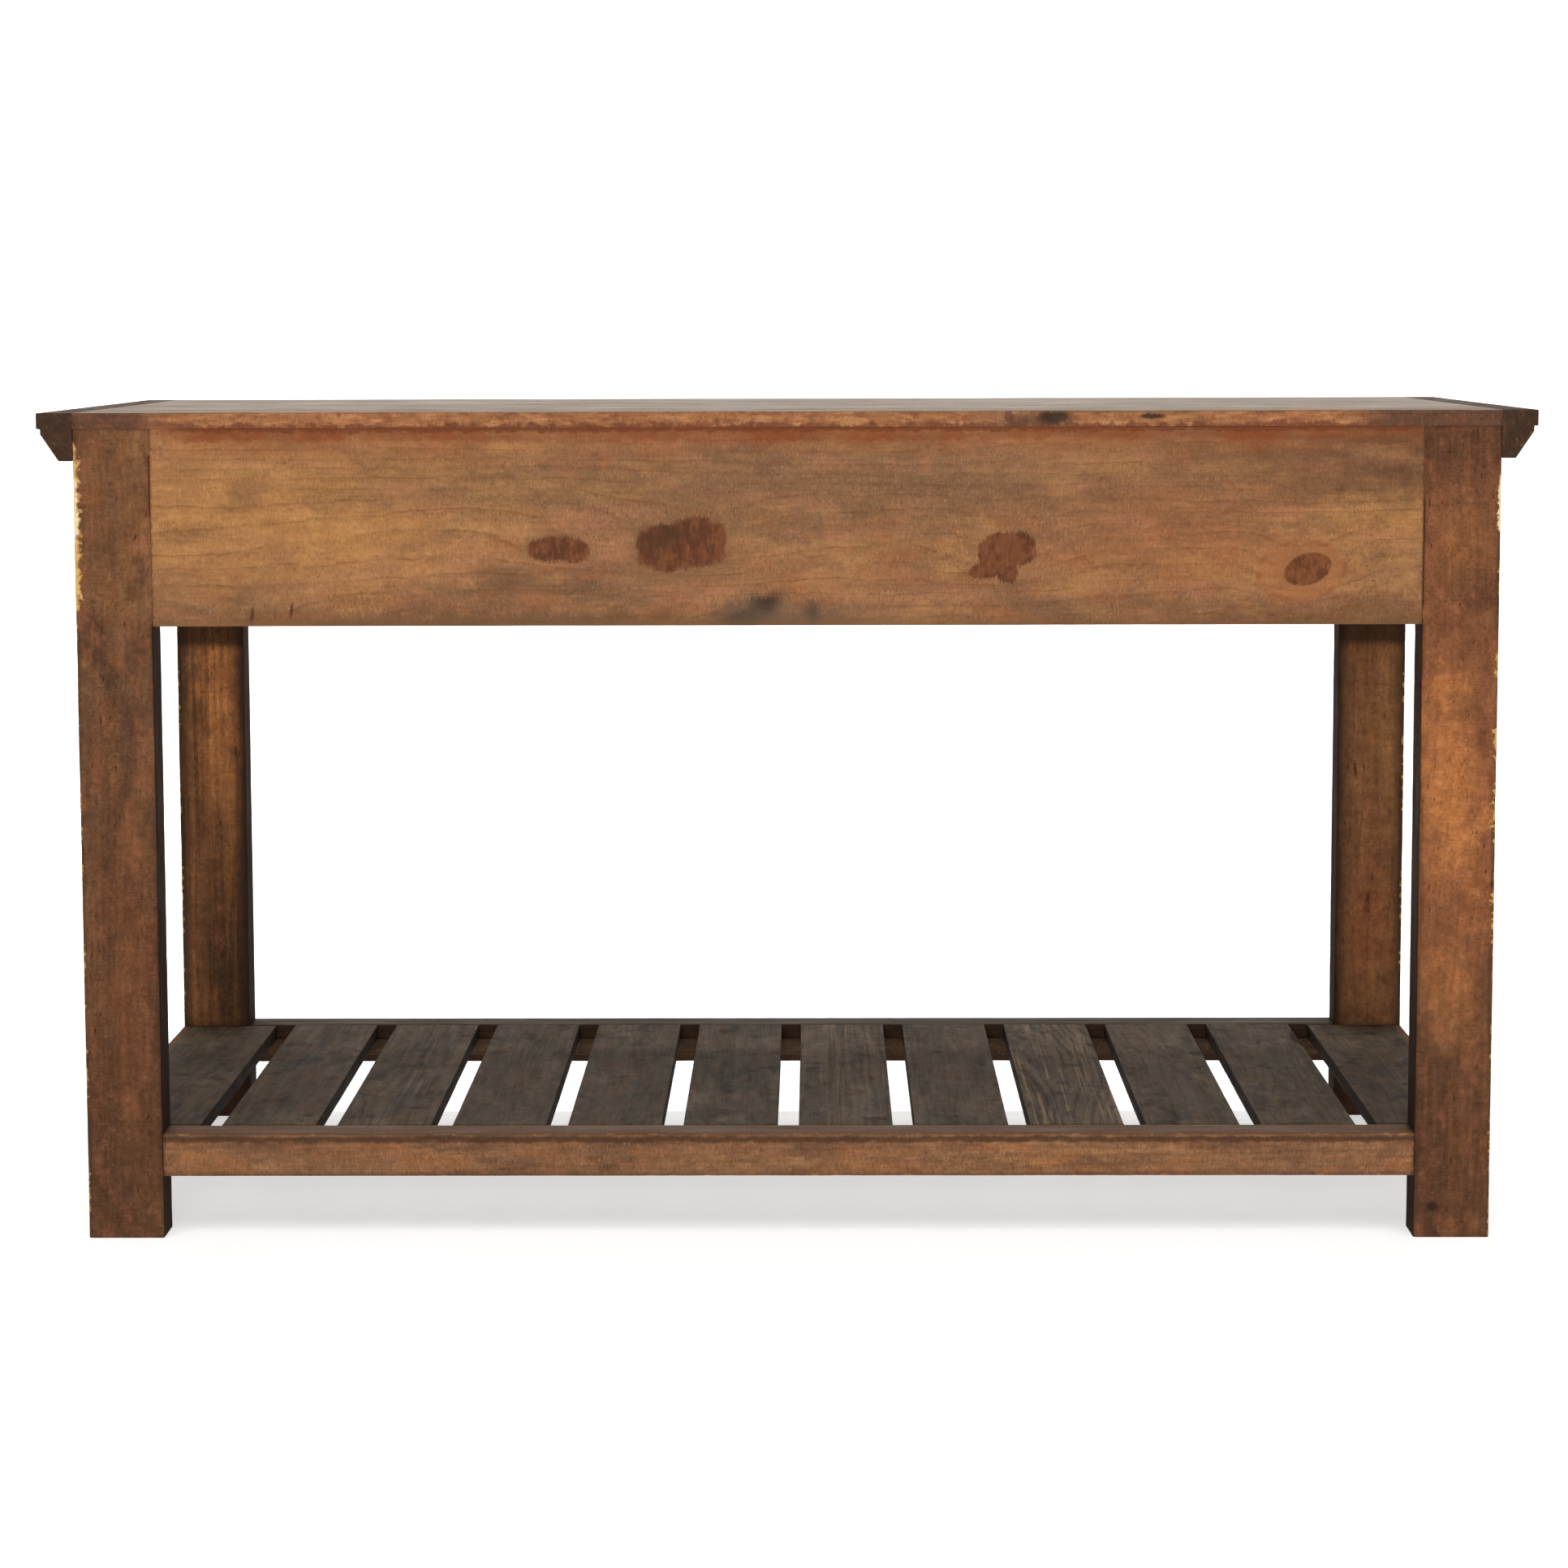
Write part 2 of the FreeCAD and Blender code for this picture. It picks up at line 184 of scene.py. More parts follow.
def timber(name, axes, centre, length, section, seed, arris=1.5 * MM, wear=0.0, wobble=0.15 * MM, tenon=None,
           ends=(0.8 * MM, 0.8 * MM), tight=(), tight_from=0.0):
    """The mesh of one board: a section lofted along its grain.

    axes are the row axes of its length, width and thickness. arris is the radius of its long arrises,
    or one radius for each, and wear is how far they are worn off at most. ends are the radii at its two
    ends. The corners of a rectangle are ++, -+, -- and +- along width and thickness; those in tight are
    sharp beyond tight_from, where a neighbour lies flush. tenon is (length, share of width, share of
    thickness, shift along the width), on both ends."""
    turns = np.linspace(0, math.pi / 2, END_STEPS + 1)
    inner = np.linspace(ends[0], length - ends[1], max(3, round(length / RING_STEP)))[1:-1]
    back = turns[::-1]
    places = np.concatenate([ends[0] * (1 - np.cos(turns)), inner, length - ends[1] * (1 - np.cos(back))])
    insets = np.concatenate([ends[0] * (1 - np.sin(turns)), 0 * inner, ends[1] * (1 - np.sin(back))])

    # Arris radii: a steady rounding, with worn stretches and nicks that only take wood away
    corner_count = len(section.polygon)
    radii = np.zeros((len(places), corner_count)) + np.array(arris)
    wears = np.zeros(corner_count) + np.array(wear)
    for corner in range(corner_count):
        lane = np.full(len(places), 7.3 * corner + 0.5)
        slow = grid_noise(places / WORN_STRETCH, lane, seed)
        quick = grid_noise(places / NICK, lane, seed + 1)
        radii[:, corner] += wears[corner] * np.clip(0.7 * slow + 0.5 * quick, 0, 1)
    sharp = np.clip((places - tight_from) / TIGHTENING, 0, 1)
    for corner in tight:
        radii[:, corner] += (TIGHT_ARRIS - radii[:, corner]) * sharp
    reach = np.abs(np.tan(section.turn / 2))
    room = np.minimum(section.span, np.roll(section.span, 1)) / 2.2 / reach
    radii = np.minimum(radii, room)

    outline = section.outline(radii)
    one = outline[len(places) // 2]
    girth = np.cumsum(np.linalg.norm(one - np.roll(one, 1, axis=0), axis=1))
    ring_place, ring_girth = np.broadcast_arrays(places[:, None], girth[None, :])
    dips = 0.5 + 0.5 * grid_noise(ring_place / DIP[0], ring_girth / DIP[1], seed + 2)
    dents = grid_noise(ring_place / DENT[0], ring_girth / DENT[1], seed + 3)
    dips = np.clip(dips + 0.6 * np.clip(dents, 0, 1), 0, None)
    fade = np.clip(np.minimum(places, length - places) / DIPS_FADE, 0, 1)
    sunk = insets[:, None] + wobble * (dips * fade[:, None])
    outline = outline - section.normals[None] * sunk[..., None]

    def scaled(ring, scale):
        return section.middle + (ring - section.middle) * scale

    first, last = outline[0], outline[-1]
    start, end = 0.0, length
    before, after = [], []
    if tenon:
        tenon_length, width_share, thick_share, shift = tenon
        shares, move = np.array([width_share, thick_share]), np.array([shift, 0])
        first, last = first * shares + move, last * shares + move
        start, end = -tenon_length, length + tenon_length
        before = [(start, first), (0.0, first)]
        after = [(length, last), (end, last)]
    stack = [(start, scaled(first, scale)) for scale in reversed(CAP_SCALES)] + before
    stack += list(zip(places, outline))
    stack += after + [(end, scaled(last, scale)) for scale in CAP_SCALES]

    count = len(section.shares)
    local = np.zeros((len(stack), count, 3))
    local[..., 0] = (np.array([place for place, _ in stack]) - length / 2)[:, None]
    local[..., 1:] = np.array([ring for _, ring in stack])
    poles = [(start - length / 2, *section.middle), (end - length / 2, *section.middle)]
    local = np.concatenate([local.reshape(-1, 3), poles])

    ring, point = np.meshgrid(np.arange(len(stack) - 1), np.arange(count), indexing="ij")
    following = (point + 1) % count
    base, above = ring * count, (ring + 1) * count
    quads = np.stack([base + point, base + following, above + following, above + point], axis=-1).reshape(-1, 4)
    start_pole, end_pole = len(local) - 2, len(local) - 1
    top = (len(stack) - 1) * count
    faces = quads.tolist()
    for step in range(count):
        next_step = (step + 1) % count
        faces.append([start_pole, next_step, step])
        faces.append([end_pole, top + step, top + next_step])
    # The faces run outwards only where the three axes make a right-handed set
    if (axes[1] - axes[0]) % 3 != 1:
        faces = [face[::-1] for face in faces]

    points = np.zeros_like(local)
    for column, axis in enumerate(axes):
        points[:, axis] = local[:, column] + centre[axis]
    mesh = bpy.data.meshes.new(name)
    mesh.from_pydata(points.tolist(), [], faces)
    capped = len(CAP_SCALES) * count
    end_grain = np.zeros(len(local))
    end_grain[:capped] = 1
    end_grain[-2 - capped:] = 1
    facing = np.zeros((len(local), 2))
    facing[:-2] = np.tile(section.normals, (len(stack), 1))
    facing *= (1 - end_grain)[:, None]
    corner_gap = np.linalg.norm(local[:, None, 1:] - section.polygon[None], axis=2).min(axis=1)
    offset = np.array([seed * 3.71 % 17, seed * 1.37 % 5, seed * 2.13 % 7])
    add_attribute(mesh, "grain", local + offset)
    add_attribute(mesh, "edge", corner_gap)
    add_attribute(mesh, "to_end", np.clip(length / 2 - np.abs(local[:, 0]), 0, None))
    add_attribute(mesh, "end_grain", end_grain)
    add_attribute(mesh, "facing", np.column_stack([end_grain, facing]))
    mesh.polygons.foreach_set("use_smooth", np.ones(len(mesh.polygons), bool))
    mesh.update()
    return mesh


def add_attribute(mesh, name, values):
    """Stores a number or a vector for each point of a mesh."""
    kind, field = ("FLOAT_VECTOR", "vector") if values.ndim == 2 else ("FLOAT", "value")
    layer = mesh.attributes.new(name, kind, "POINT")
    layer.data.foreach_set(field, values.astype(np.float32).ravel())


def board(name, along, low, high, seed, **shape):
    """The mesh of a rectangular board between two corners."""
    size = [top - bottom for bottom, top in zip(low, high)]
    centre = [(top + bottom) / 2 for bottom, top in zip(low, high)]
    width, thickness = sorted([axis for axis in (X, Y, Z) if axis != along], key=lambda axis: -size[axis])
    section = rectangle(size[width], size[thickness])
    return timber(name, (along, width, thickness), centre, size[along], section, seed, **shape)


def add_object(name, data):
    made = bpy.data.objects.new(name, data)
    bpy.context.scene.collection.objects.link(made)
    return made


def show(mesh, material, node):
    """Shows a mesh as a piece that rides on the one body and stands for a CAD node."""
    piece = add_object(mesh.name, mesh)
    mesh.materials.append(material)
    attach(piece, "root")
    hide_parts(node)


# ---------------------------------------------------------------- materials

def rgb(red, green, blue):
    """The shader's own linear values for a screen colour; all colours here are given as 0 to 255."""
    def linear(value):
        value /= 255
        return value / 12.92 if value <= 0.04045 else ((value + 0.055) / 1.055) ** 2.4
    return (linear(red), linear(green), linear(blue), 1)


class Shader:
    """A material's node tree, with one short call for each kind of node."""

    def __init__(self, name):
        self.material = bpy.data.materials.new(name)
        self.material.use_nodes = True
        self.tree = self.material.node_tree
        self.surface = self.tree.nodes["Principled BSDF"]

    def node(self, kind, inputs=(), **settings):
        made = self.tree.nodes.new(kind)
        for key, value in settings.items():
            setattr(made, key, value)
        for key, value in dict(inputs).items():
            self.put(made.inputs[key], value)
        return made

    def put(self, socket, value):
        if isinstance(value, bpy.types.NodeSocket):
            self.tree.links.new(value, socket)
        elif value is not None:
            socket.default_value = value

    def set(self, name, value):
        """Sets or connects one of the surface's own inputs."""
        self.put(self.surface.inputs[name], value)

    def attribute(self, name, output="Fac"):
        return self.node("ShaderNodeAttribute", attribute_name=name).outputs[output]

    def math(self, operation, first, second=None, clamp=False):
        inputs = {0: first, 1: second}
        return self.node("ShaderNodeMath", inputs, operation=operation, use_clamp=clamp).outputs[0]

    def times(self, first, second, clamp=False):
        return self.math("MULTIPLY", first, second, clamp)

    def plus(self, first, second):
        return self.math("ADD", first, second)

    def minus(self, first, second):
        return self.math("SUBTRACT", first, second)

    def vector(self, operation, first, second=None):
        made = self.node("ShaderNodeVectorMath", {0: first, 1: second}, operation=operation)
        return made.outputs["Value" if operation == "LENGTH" else "Vector"]

    def scale(self, vector, factor):
        return self.node("ShaderNodeVectorMath", {0: vector, "Scale": factor}, operation="SCALE").outputs[0]

    def parts(self, vector):
        return self.node("ShaderNodeSeparateXYZ", {0: vector}).outputs

    def join(self, x, y, z):
        return self.node("ShaderNodeCombineXYZ", {0: x, 1: y, 2: z}).outputs[0]

    def noise(self, vector, scale=1.0, detail=2.0, roughness=0.5):
        inputs = {"Vector": vector, "Scale": scale, "Detail": detail, "Roughness": roughness}
        return self.node("ShaderNodeTexNoise", inputs).outputs["Fac"]

    def step(self, value, low, high, to_low=0.0, to_high=1.0):
        """A smooth step from to_low to to_high as value goes from low to high."""
        inputs = {"Value": value, "From Min": low, "From Max": high, "To Min": to_low, "To Max": to_high}
        return self.node("ShaderNodeMapRange", inputs, interpolation_type="SMOOTHSTEP").outputs[0]

    def mix(self, factor, first, second):
        made = self.node("ShaderNodeMix", data_type="RGBA")
        self.put(made.inputs["Factor"], factor)
        self.put(made.inputs[6], first)
        self.put(made.inputs[7], second)
        return made.outputs[2]


# Colours that several boards share: the stain in the joints, knots, bare wood and flecks
JOINT = (42, 28, 20)
KNOT = (106, 61, 38)
KNOT_HEART = (76, 44, 29)
BARE = (204, 166, 98)
CREAM = (228, 206, 164)
LIGHT_FLECK = (194, 154, 112)
DARK_FLECK = (74, 50, 33)
GOLDEN = (168, 120, 67)


class Wood:
    """One board's finish, in layers: stain, growth rings, fibres, saw marks, knots and wear.

    Its coordinates are in metres. grain runs along the grain, across it and into the board, shifted from
    board to board, and place is the position in the row's own frame."""

    def __init__(self, name, pale, body, deep, warm, cloud=(0.16, 0.04)):
        self.s = s = Shader(name)
        self.grain = s.attribute("grain", "Vector")
        self.edge = s.attribute("edge")
        self.to_end = s.attribute("to_end")
        self.place = s.node("ShaderNodeTexCoord").outputs["Object"]
        self.facing = s.parts(s.attribute("facing", "Vector"))
        self.deep = deep
        self.warm = warm
        self.ring_shift = None
        self.height = None
        along, over = cloud
        self.colour = s.mix(self.patchy(0.495, 0.65, along, over, 5.0, 0.6), rgb(*body), rgb(*pale))
        self.tint(self.patchy(0.5, 0.7, 2.1 * along, 1.4 * over, 4.0, 0.6), deep, 1.0)
        self.tint(self.patchy(0.48, 0.66, 0.45 * along, 0.5 * over, 4.0, 0.55, (3.1, 8.2, 1.7)), warm, 0.6)

    def streaks(self, along, over, detail=3.0, roughness=0.55, shift=(0, 0, 0)):
        """Noise whose features are this long along the grain and this wide across it."""
        s = self.s
        stretched = s.vector("MULTIPLY", self.grain, (1 / along, 1 / over, 1 / over))
        return s.noise(s.vector("ADD", stretched, shift), 1.0, detail, roughness)

    def patchy(self, low, high, *size):
        """0 where the streaks are below low, and 1 where they are above high."""
        return self.s.step(self.streaks(*size), low, high)

    def add_height(self, value, amount):
        part = self.s.times(value, amount)
        self.height = part if self.height is None else self.s.plus(self.height, part)

    def shade(self, value, spread):
        """Makes the colour lighter or darker with a noise value, by this share for one standard deviation."""
        s = self.s
        factor = s.times(s.minus(value, 0.5), spread / 0.12)
        self.colour = s.scale(self.colour, s.math("MAXIMUM", s.plus(factor, 1.0), 0.25))

    def mottle(self, along, over, spread):
        """Soft light and dark patches of this size."""
        self.shade(self.streaks(along, over, 4.0, 0.6, (2.7, 9.3, 0.1)), spread)

    def tint(self, mask, colour, amount):
        """Lays a colour over the board by this amount where mask is 1."""
        factor = self.s.times(mask, amount, clamp=True)
        self.colour = self.s.mix(factor, self.colour, rgb(*colour))

    def both(self, *masks):
        """1 only where all the masks are 1."""
        total = masks[0]
        for mask in masks[1:]:
            total = self.s.times(total, mask)
        return total

    def along_row(self, axis, low, high, blur=0.01, ragged=0.0, size=0.03):
        """1 between two places along a row axis, with a soft and ragged border."""
        s = self.s
        where = s.parts(self.place)[axis]
        if ragged:
            uneven = s.minus(s.noise(self.place, 1 / size, 3.0, 0.6), 0.5)
            where = s.plus(where, s.times(uneven, 2 * ragged))
        above = s.step(where, low - blur / 2, low + blur / 2)
        return s.times(above, s.step(where, high - blur / 2, high + blur / 2, 1.0, 0.0))

    def spot(self, x, z, half_x, half_z, tilt=0.0, ragged=0.0, fibre=0.0, square=False):
        """Distance from a place on the front, in units of an ellipse or a rounded oblong of this size.

        ragged and fibre move its outline, in metres: ragged in lobes, and fibre by single fibres."""
        s = self.s
        offset = s.vector("SUBTRACT", self.place, (x, 0, z))
        if ragged:
            noise = s.node("ShaderNodeTexNoise", {"Vector": self.place, "Scale": 55.0, "Detail": 2.0})
            lobes = s.vector("SUBTRACT", noise.outputs["Color"], (0.5, 0.5, 0.5))
            offset = s.vector("ADD", offset, s.scale(lobes, 4 * ragged))
        if fibre:
            threads = s.minus(self.threads, 0.5)
            offset = s.vector("ADD", offset, s.join(0.0, 0.0, s.times(threads, 5 * fibre)))
        turned = s.node("ShaderNodeVectorRotate", {"Vector": offset, "Angle": tilt}, rotation_type="Y_AXIS")
        shrunk = s.vector("MULTIPLY", turned.outputs[0], (1 / half_x, 0, 1 / half_z))
        if not square:
            return s.vector("LENGTH", shrunk)
        part = s.parts(s.vector("MULTIPLY", s.vector("MULTIPLY", shrunk, shrunk), shrunk))
        cubes = s.plus(s.math("ABSOLUTE", part[0]), s.math("ABSOLUTE", part[2]))
        return s.math("POWER", cubes, 1 / 3)

    def side_faces(self):
        """1 on the two narrow faces of the board."""
        return self.s.step(self.s.math("ABSOLUTE", self.facing[1]), 0.5, 0.9)

    def mask(self, distance, blur):
        """1 inside a spot and 0 outside it; blur is the softness of its border."""
        return self.s.step(distance, 1 - blur, 1 + blur, 1.0, 0.0)

    def band(self, colour, amount, *where):
        """A stretch of another colour; where is what along_row takes."""
        self.tint(self.along_row(*where), colour, amount)

    def blot(self, colour, amount, blur, *where):
        """A patch of another colour; where is what spot takes."""
        self.tint(self.mask(self.spot(*where), blur), colour, amount)

    def bend_rings(self, distance, amount):
        """Makes the growth rings flow round a knot."""
        s = self.s
        bump = s.times(s.step(distance, 0.6, 3.4, 1.0, 0.0), amount)
        self.ring_shift = bump if self.ring_shift is None else s.plus(self.ring_shift, bump)

    def rings(self, spacing, contrast, wander, amount=0.5, line_colour=None):
        """Growth rings cut lengthways: long dark lines that wander and close into tongues."""
        s = self.s
        parts = s.parts(self.grain)
        drift = self.streaks(0.9, 0.16, 2.0, 0.45, (1.3, 0.4, 2.2))
        shake = self.streaks(0.05, 0.02, 3.0, 0.6)
        phase = s.plus(s.math("DIVIDE", parts[1], spacing), s.times(drift, wander / spacing))
        phase = s.plus(phase, s.times(shake, 0.9))
        if self.ring_shift is not None:
            phase = s.plus(phase, self.ring_shift)
        year = s.math("FRACT", phase)
        late = s.times(s.step(year, 0.35, 0.93), s.step(year, 0.93, 1.0, 1.0, 0.0))
        line = s.times(s.step(year, 0.79, 0.93), s.step(year, 0.93, 1.0, 1.0, 0.0))
        broken = self.patchy(0.38, 0.66, 0.11, 0.012, 3.0, 0.6, (5.5, 2.0, 0.3))
        bands = s.noise(s.join(phase, s.math("DIVIDE", parts[0], 0.8), 0.0), 1.3, 2.0, 0.5)
        self.shade(bands, contrast)
        self.shade(s.minus(0.65, s.times(late, 0.3)), contrast)
        self.tint(self.both(line, broken), line_colour or self.deep, amount)
        self.add_height(late, 0.3)

    def fibres(self, streak, mottle, threads):
        """Fine streaks along the grain, a fine mottle, and the rough threads that the saw raised across it."""
        s = self.s
        self.shade(self.streaks(0.045, 0.0035, 5.0, 0.65), streak)
        self.shade(self.streaks(0.006, 0.004, 4.0, 0.65), mottle)
        self.threads = self.streaks(0.0012, 0.007, 3.0, 0.7)
        coarse = self.streaks(0.0026, 0.014, 3.0, 0.65, (4.1, 0.8, 2.9))
        patchy = s.step(self.streaks(0.04, 0.02, 3.0, 0.6, (0.9, 7.2, 3.8)), 0.3, 0.7, 0.35, 1.5)
        deviation = s.times(s.minus(self.threads, 0.5), patchy)
        self.shade(s.plus(deviation, 0.5), threads)
        self.shade(coarse, 0.55 * threads)
        self.add_height(self.threads, 0.8)

    def flecks(self, light, dark, light_amount, dark_amount=0.5):
        """Small light and dark flecks, longer across the grain than along it."""
        s = self.s
        where = s.step(self.streaks(0.05, 0.05, 2.0, 0.5), 0.35, 0.65, 0.35, 1.0)
        first = self.streaks(1.0 * MM, 4.0 * MM, 1.0, 0.4, (7.7, 1.1, 4.4))
        second = self.streaks(1.2 * MM, 2.8 * MM, 1.0, 0.4, (2.7, 6.1, 9.4))
        self.tint(self.both(s.step(first, 0.64, 0.76), where), light, light_amount)
        self.tint(self.both(s.step(second, 0.62, 0.74), where), dark, dark_amount)
        self.add_height(s.step(second, 0.62, 0.74), -0.8)

    def stains(self, colour, amount, along, over, low=0.5, high=0.68, offset=(4.4, 0.7, 6.2)):
        """Soft patches of another colour."""
        self.tint(self.patchy(low, high, along, over, 4.0, 0.6, offset), colour, amount)

    def nicks(self, colour, amount, low):
        """Short dark splits along the grain; a higher low gives fewer."""
        s = self.s
        found = s.step(self.streaks(0.012, 0.0022, 1.0, 0.4, (6.3, 0.2, 5.8)), low, low + 0.05)
        where = self.patchy(0.48, 0.6, 0.09, 0.03, 2.0, 0.5, (3.9, 1.6, 8.1))
        self.tint(self.both(found, where), colour, amount)
        self.add_height(self.both(found, where), -2.5)

    def knot(self, distance, halo=0.3, blur=0.07, dark=KNOT, heart=KNOT_HEART):
        """A knot with a soft rim of darker wood; distance is 1 on its outline."""
        s = self.s
        self.tint(s.step(distance, 0.9, 1.5, 1.0, 0.0), self.deep, halo)
        inside = self.mask(distance, blur)
        self.tint(inside, dark, 0.88)
        self.tint(self.both(inside, self.patchy(0.4, 0.62, 0.01, 0.012, 3.0)), heart, 0.75)
        self.tint(self.both(inside, self.patchy(0.5, 0.66, 0.0022, 0.02, 4.0, 0.65)), self.warm, 0.5)
        self.tint(self.both(inside, s.step(self.threads, 0.45, 0.65)), heart, 0.4)
        self.add_height(inside, 0.6)

    def scattered_knots(self, size=0.016, along=0.42, over=0.13):
        """Small oval knots here and there, for boards that show no particular one. Gives their distance."""
        s = self.s
        cells = s.vector("MULTIPLY", self.grain, (1 / along, 1 / over, 0.0))
        lobes = s.times(self.streaks(0.02, 0.02, 2.0), 0.09)
        shaken = s.vector("ADD", cells, s.join(lobes, lobes, 0.0))
        found = s.node("ShaderNodeTexVoronoi", {"Vector": shaken, "Scale": 1.0, "Randomness": 0.8})
        picked = s.step(s.parts(found.outputs["Color"])[0], 0.5, 0.52, 4.0, 0.0)
        distance = s.math("DIVIDE", found.outputs["Distance"], size / over)
        return s.plus(distance, picked)

    def worn_edges(self, colour, width, amount, where=None, low=0.36, high=0.6, solid=0.0):
        """Arrises rubbed or chipped through to the bare wood.

        low and high say how much of the arris is worn, and solid how unbroken the worn part is."""
        s = self.s
        chips = self.streaks(0.006, 0.006, 3.0, 0.6)
        slow = self.streaks(0.05, 0.3, 2.0, 0.5)
        reach = s.times(s.step(slow, low, high), s.step(chips, 0.34, 0.7, solid, 1.0))
        reach = s.times(reach, width)
        if where is not None:
            reach = s.times(reach, where)
        gap = s.minus(s.plus(self.edge, 0.8 * MM), reach)
        rubbed = s.step(gap, -0.7 * MM, 0.7 * MM, 1.0, 0.0)
        self.tint(rubbed, colour, amount)
        self.add_height(rubbed, -1.5)

    def edge_stain(self, colour, width, amount, where=None):
        """Stain that stays darker along the arrises."""
        s = self.s
        uneven = s.times(self.patchy(0.3, 0.7, 0.08, 0.03, 3.0), width)
        near = s.step(s.minus(self.edge, uneven), -0.3 * width, 0.5 * width, 1.0, 0.0)
        self.tint(near if where is None else self.both(near, where), colour, amount)

    def end_grain(self):
        """Growth rings and dark pores on the two ends."""
        s = self.s
        caps = s.attribute("end_grain")
        flat = s.vector("MULTIPLY", self.grain, (0.0, 1.0, 1.0))
        radius = s.vector("LENGTH", s.vector("ADD", flat, (0.0, 0.04, 0.07)))
        years = s.noise(s.join(s.times(radius, 330.0), 0.0, 0.0), 1.0, 2.0, 0.6)
        self.tint(self.both(caps, s.step(years, 0.35, 0.65)), self.deep, 0.6)
        pores = s.noise(self.grain, 900.0, 2.0, 0.7)
        self.tint(self.both(caps, s.step(pores, 0.5, 0.7)), self.deep, 0.6)

    def joint_stain(self, width, amount, colour):
        """Stain that has gathered where the board meets its neighbour."""
        s = self.s
        uneven = s.times(self.patchy(0.25, 0.75, 0.004, 0.006, 4.0, 0.7), 1.6 * width)
        near = s.step(s.minus(self.to_end, uneven), -width * 0.5, width * 0.5, 1.0, 0.0)
        self.tint(near, colour, amount)

    def finish(self, joint, specular, roughness=0.62, spread=0.1, joint_colour=JOINT):
        """Ends the layers and connects them to the shader.

        joint is the width and the amount of the stain at the joints, and spread is how far the roughness
        varies."""
        s = self.s
        self.end_grain()
        self.joint_stain(*joint, joint_colour)
        s.set("Base Color", self.colour)
        s.set("Specular IOR Level", specular)
        uneven = self.streaks(0.08, 0.012, 3.0, 0.6)
        s.set("Roughness", s.step(uneven, 0.3, 0.7, roughness - spread, roughness + spread))
        relief = s.node("ShaderNodeBump", {"Strength": 0.6, "Distance": 0.5 * MM, "Height": self.height})
        s.set("Normal", relief.outputs[0])
        return s.material


# Open ends for Wood.along_row, and the tint that covers a whole board
BELOW, ABOVE = -1.0, 1.0
EVERYWHERE = 1.0

# How soft the border of a patch is, as a share of its radius
SOFT, HALF_SOFT, CRISP = 0.9, 0.6, 0.4


def apron_tones(wood):
    """Golden and dark areas of the front apron, under its grain."""
    wood.blot(GOLDEN, 0.6, SOFT, -0.46, 0.69, 0.16, 0.055, 0.0, 0.02)
    wood.blot(GOLDEN, 0.6, SOFT, 0.56, 0.682, 0.07, 0.03, 0.0, 0.01)
    wood.blot((102, 76, 56), 0.65, SOFT, 0.1, 0.715, 0.4, 0.035, 0.0, 0.02)
    wood.blot((84, 57, 41), 0.75, SOFT, 0.57, 0.745, 0.14, 0.045, 0.0, 0.015)
    wood.blot((92, 64, 45), 0.7, SOFT, 0.5, 0.59, 0.2, 0.02, 0.0, 0.01)
    wood.blot((148, 90, 52), 0.35, SOFT, 0.38, 0.67, 0.12, 0.05, 0.0, 0.02)
    wood.stains((154, 112, 69), 0.4, 0.11, 0.032)
    wood.stains((146, 98, 72), 0.4, 0.09, 0.028, offset=(9.4, 3.7, 1.2))
    wood.stains((108, 77, 56), 0.45, 0.09, 0.03, 0.52, 0.7, (1.4, 5.7, 7.2))


def apron_knots(wood):
    """The four large knots of the front apron, from left to right."""
    s = wood.s
    wood.knot(wood.spot(-0.213, 0.657, 0.028, 0.0115, -0.05, 0.0016, 0.003, square=True))
    wood.knot(wood.spot(-0.098, 0.6605, 0.042, 0.0225, 0.12, 0.004, 0.0035, square=True), 0.45)
    wood.blot((72, 46, 31), 0.7, HALF_SOFT, -0.112, 0.668, 0.024, 0.011, 0.14, 0.005, 0.003)
    body = wood.spot(0.206, 0.6545, 0.0265, 0.0172, 0.2, 0.0016, 0.0035, square=True)
    tail = wood.spot(0.1875, 0.6365, 0.017, 0.0072, 0.2, 0.001, 0.0014)
    drop = wood.spot(0.207, 0.6345, 0.0105, 0.0095, -0.2, 0.002, 0.003)
    wood.knot(s.math("MINIMUM", body, s.math("MINIMUM", tail, drop)), 0.2, 0.05)
    halo = wood.spot(0.4815, 0.636, 0.043, 0.029, 0.1, 0.002, 0.001)
    wood.tint(wood.mask(halo, 0.15), (150, 94, 56), 0.45)
    broken = wood.patchy(0.42, 0.6, 0.03, 0.012, 2.0, 0.5, (3.1, 0.7, 2.2))
    wood.tint(wood.both(wood.mask(halo, 0.06), s.step(halo, 0.8, 0.95), broken), (118, 72, 44), 0.6)
    wood.knot(wood.spot(0.487, 0.637, 0.0225, 0.0145, 0.32, 0.0006, 0.0008), 0.15, dark=(112, 65, 38))


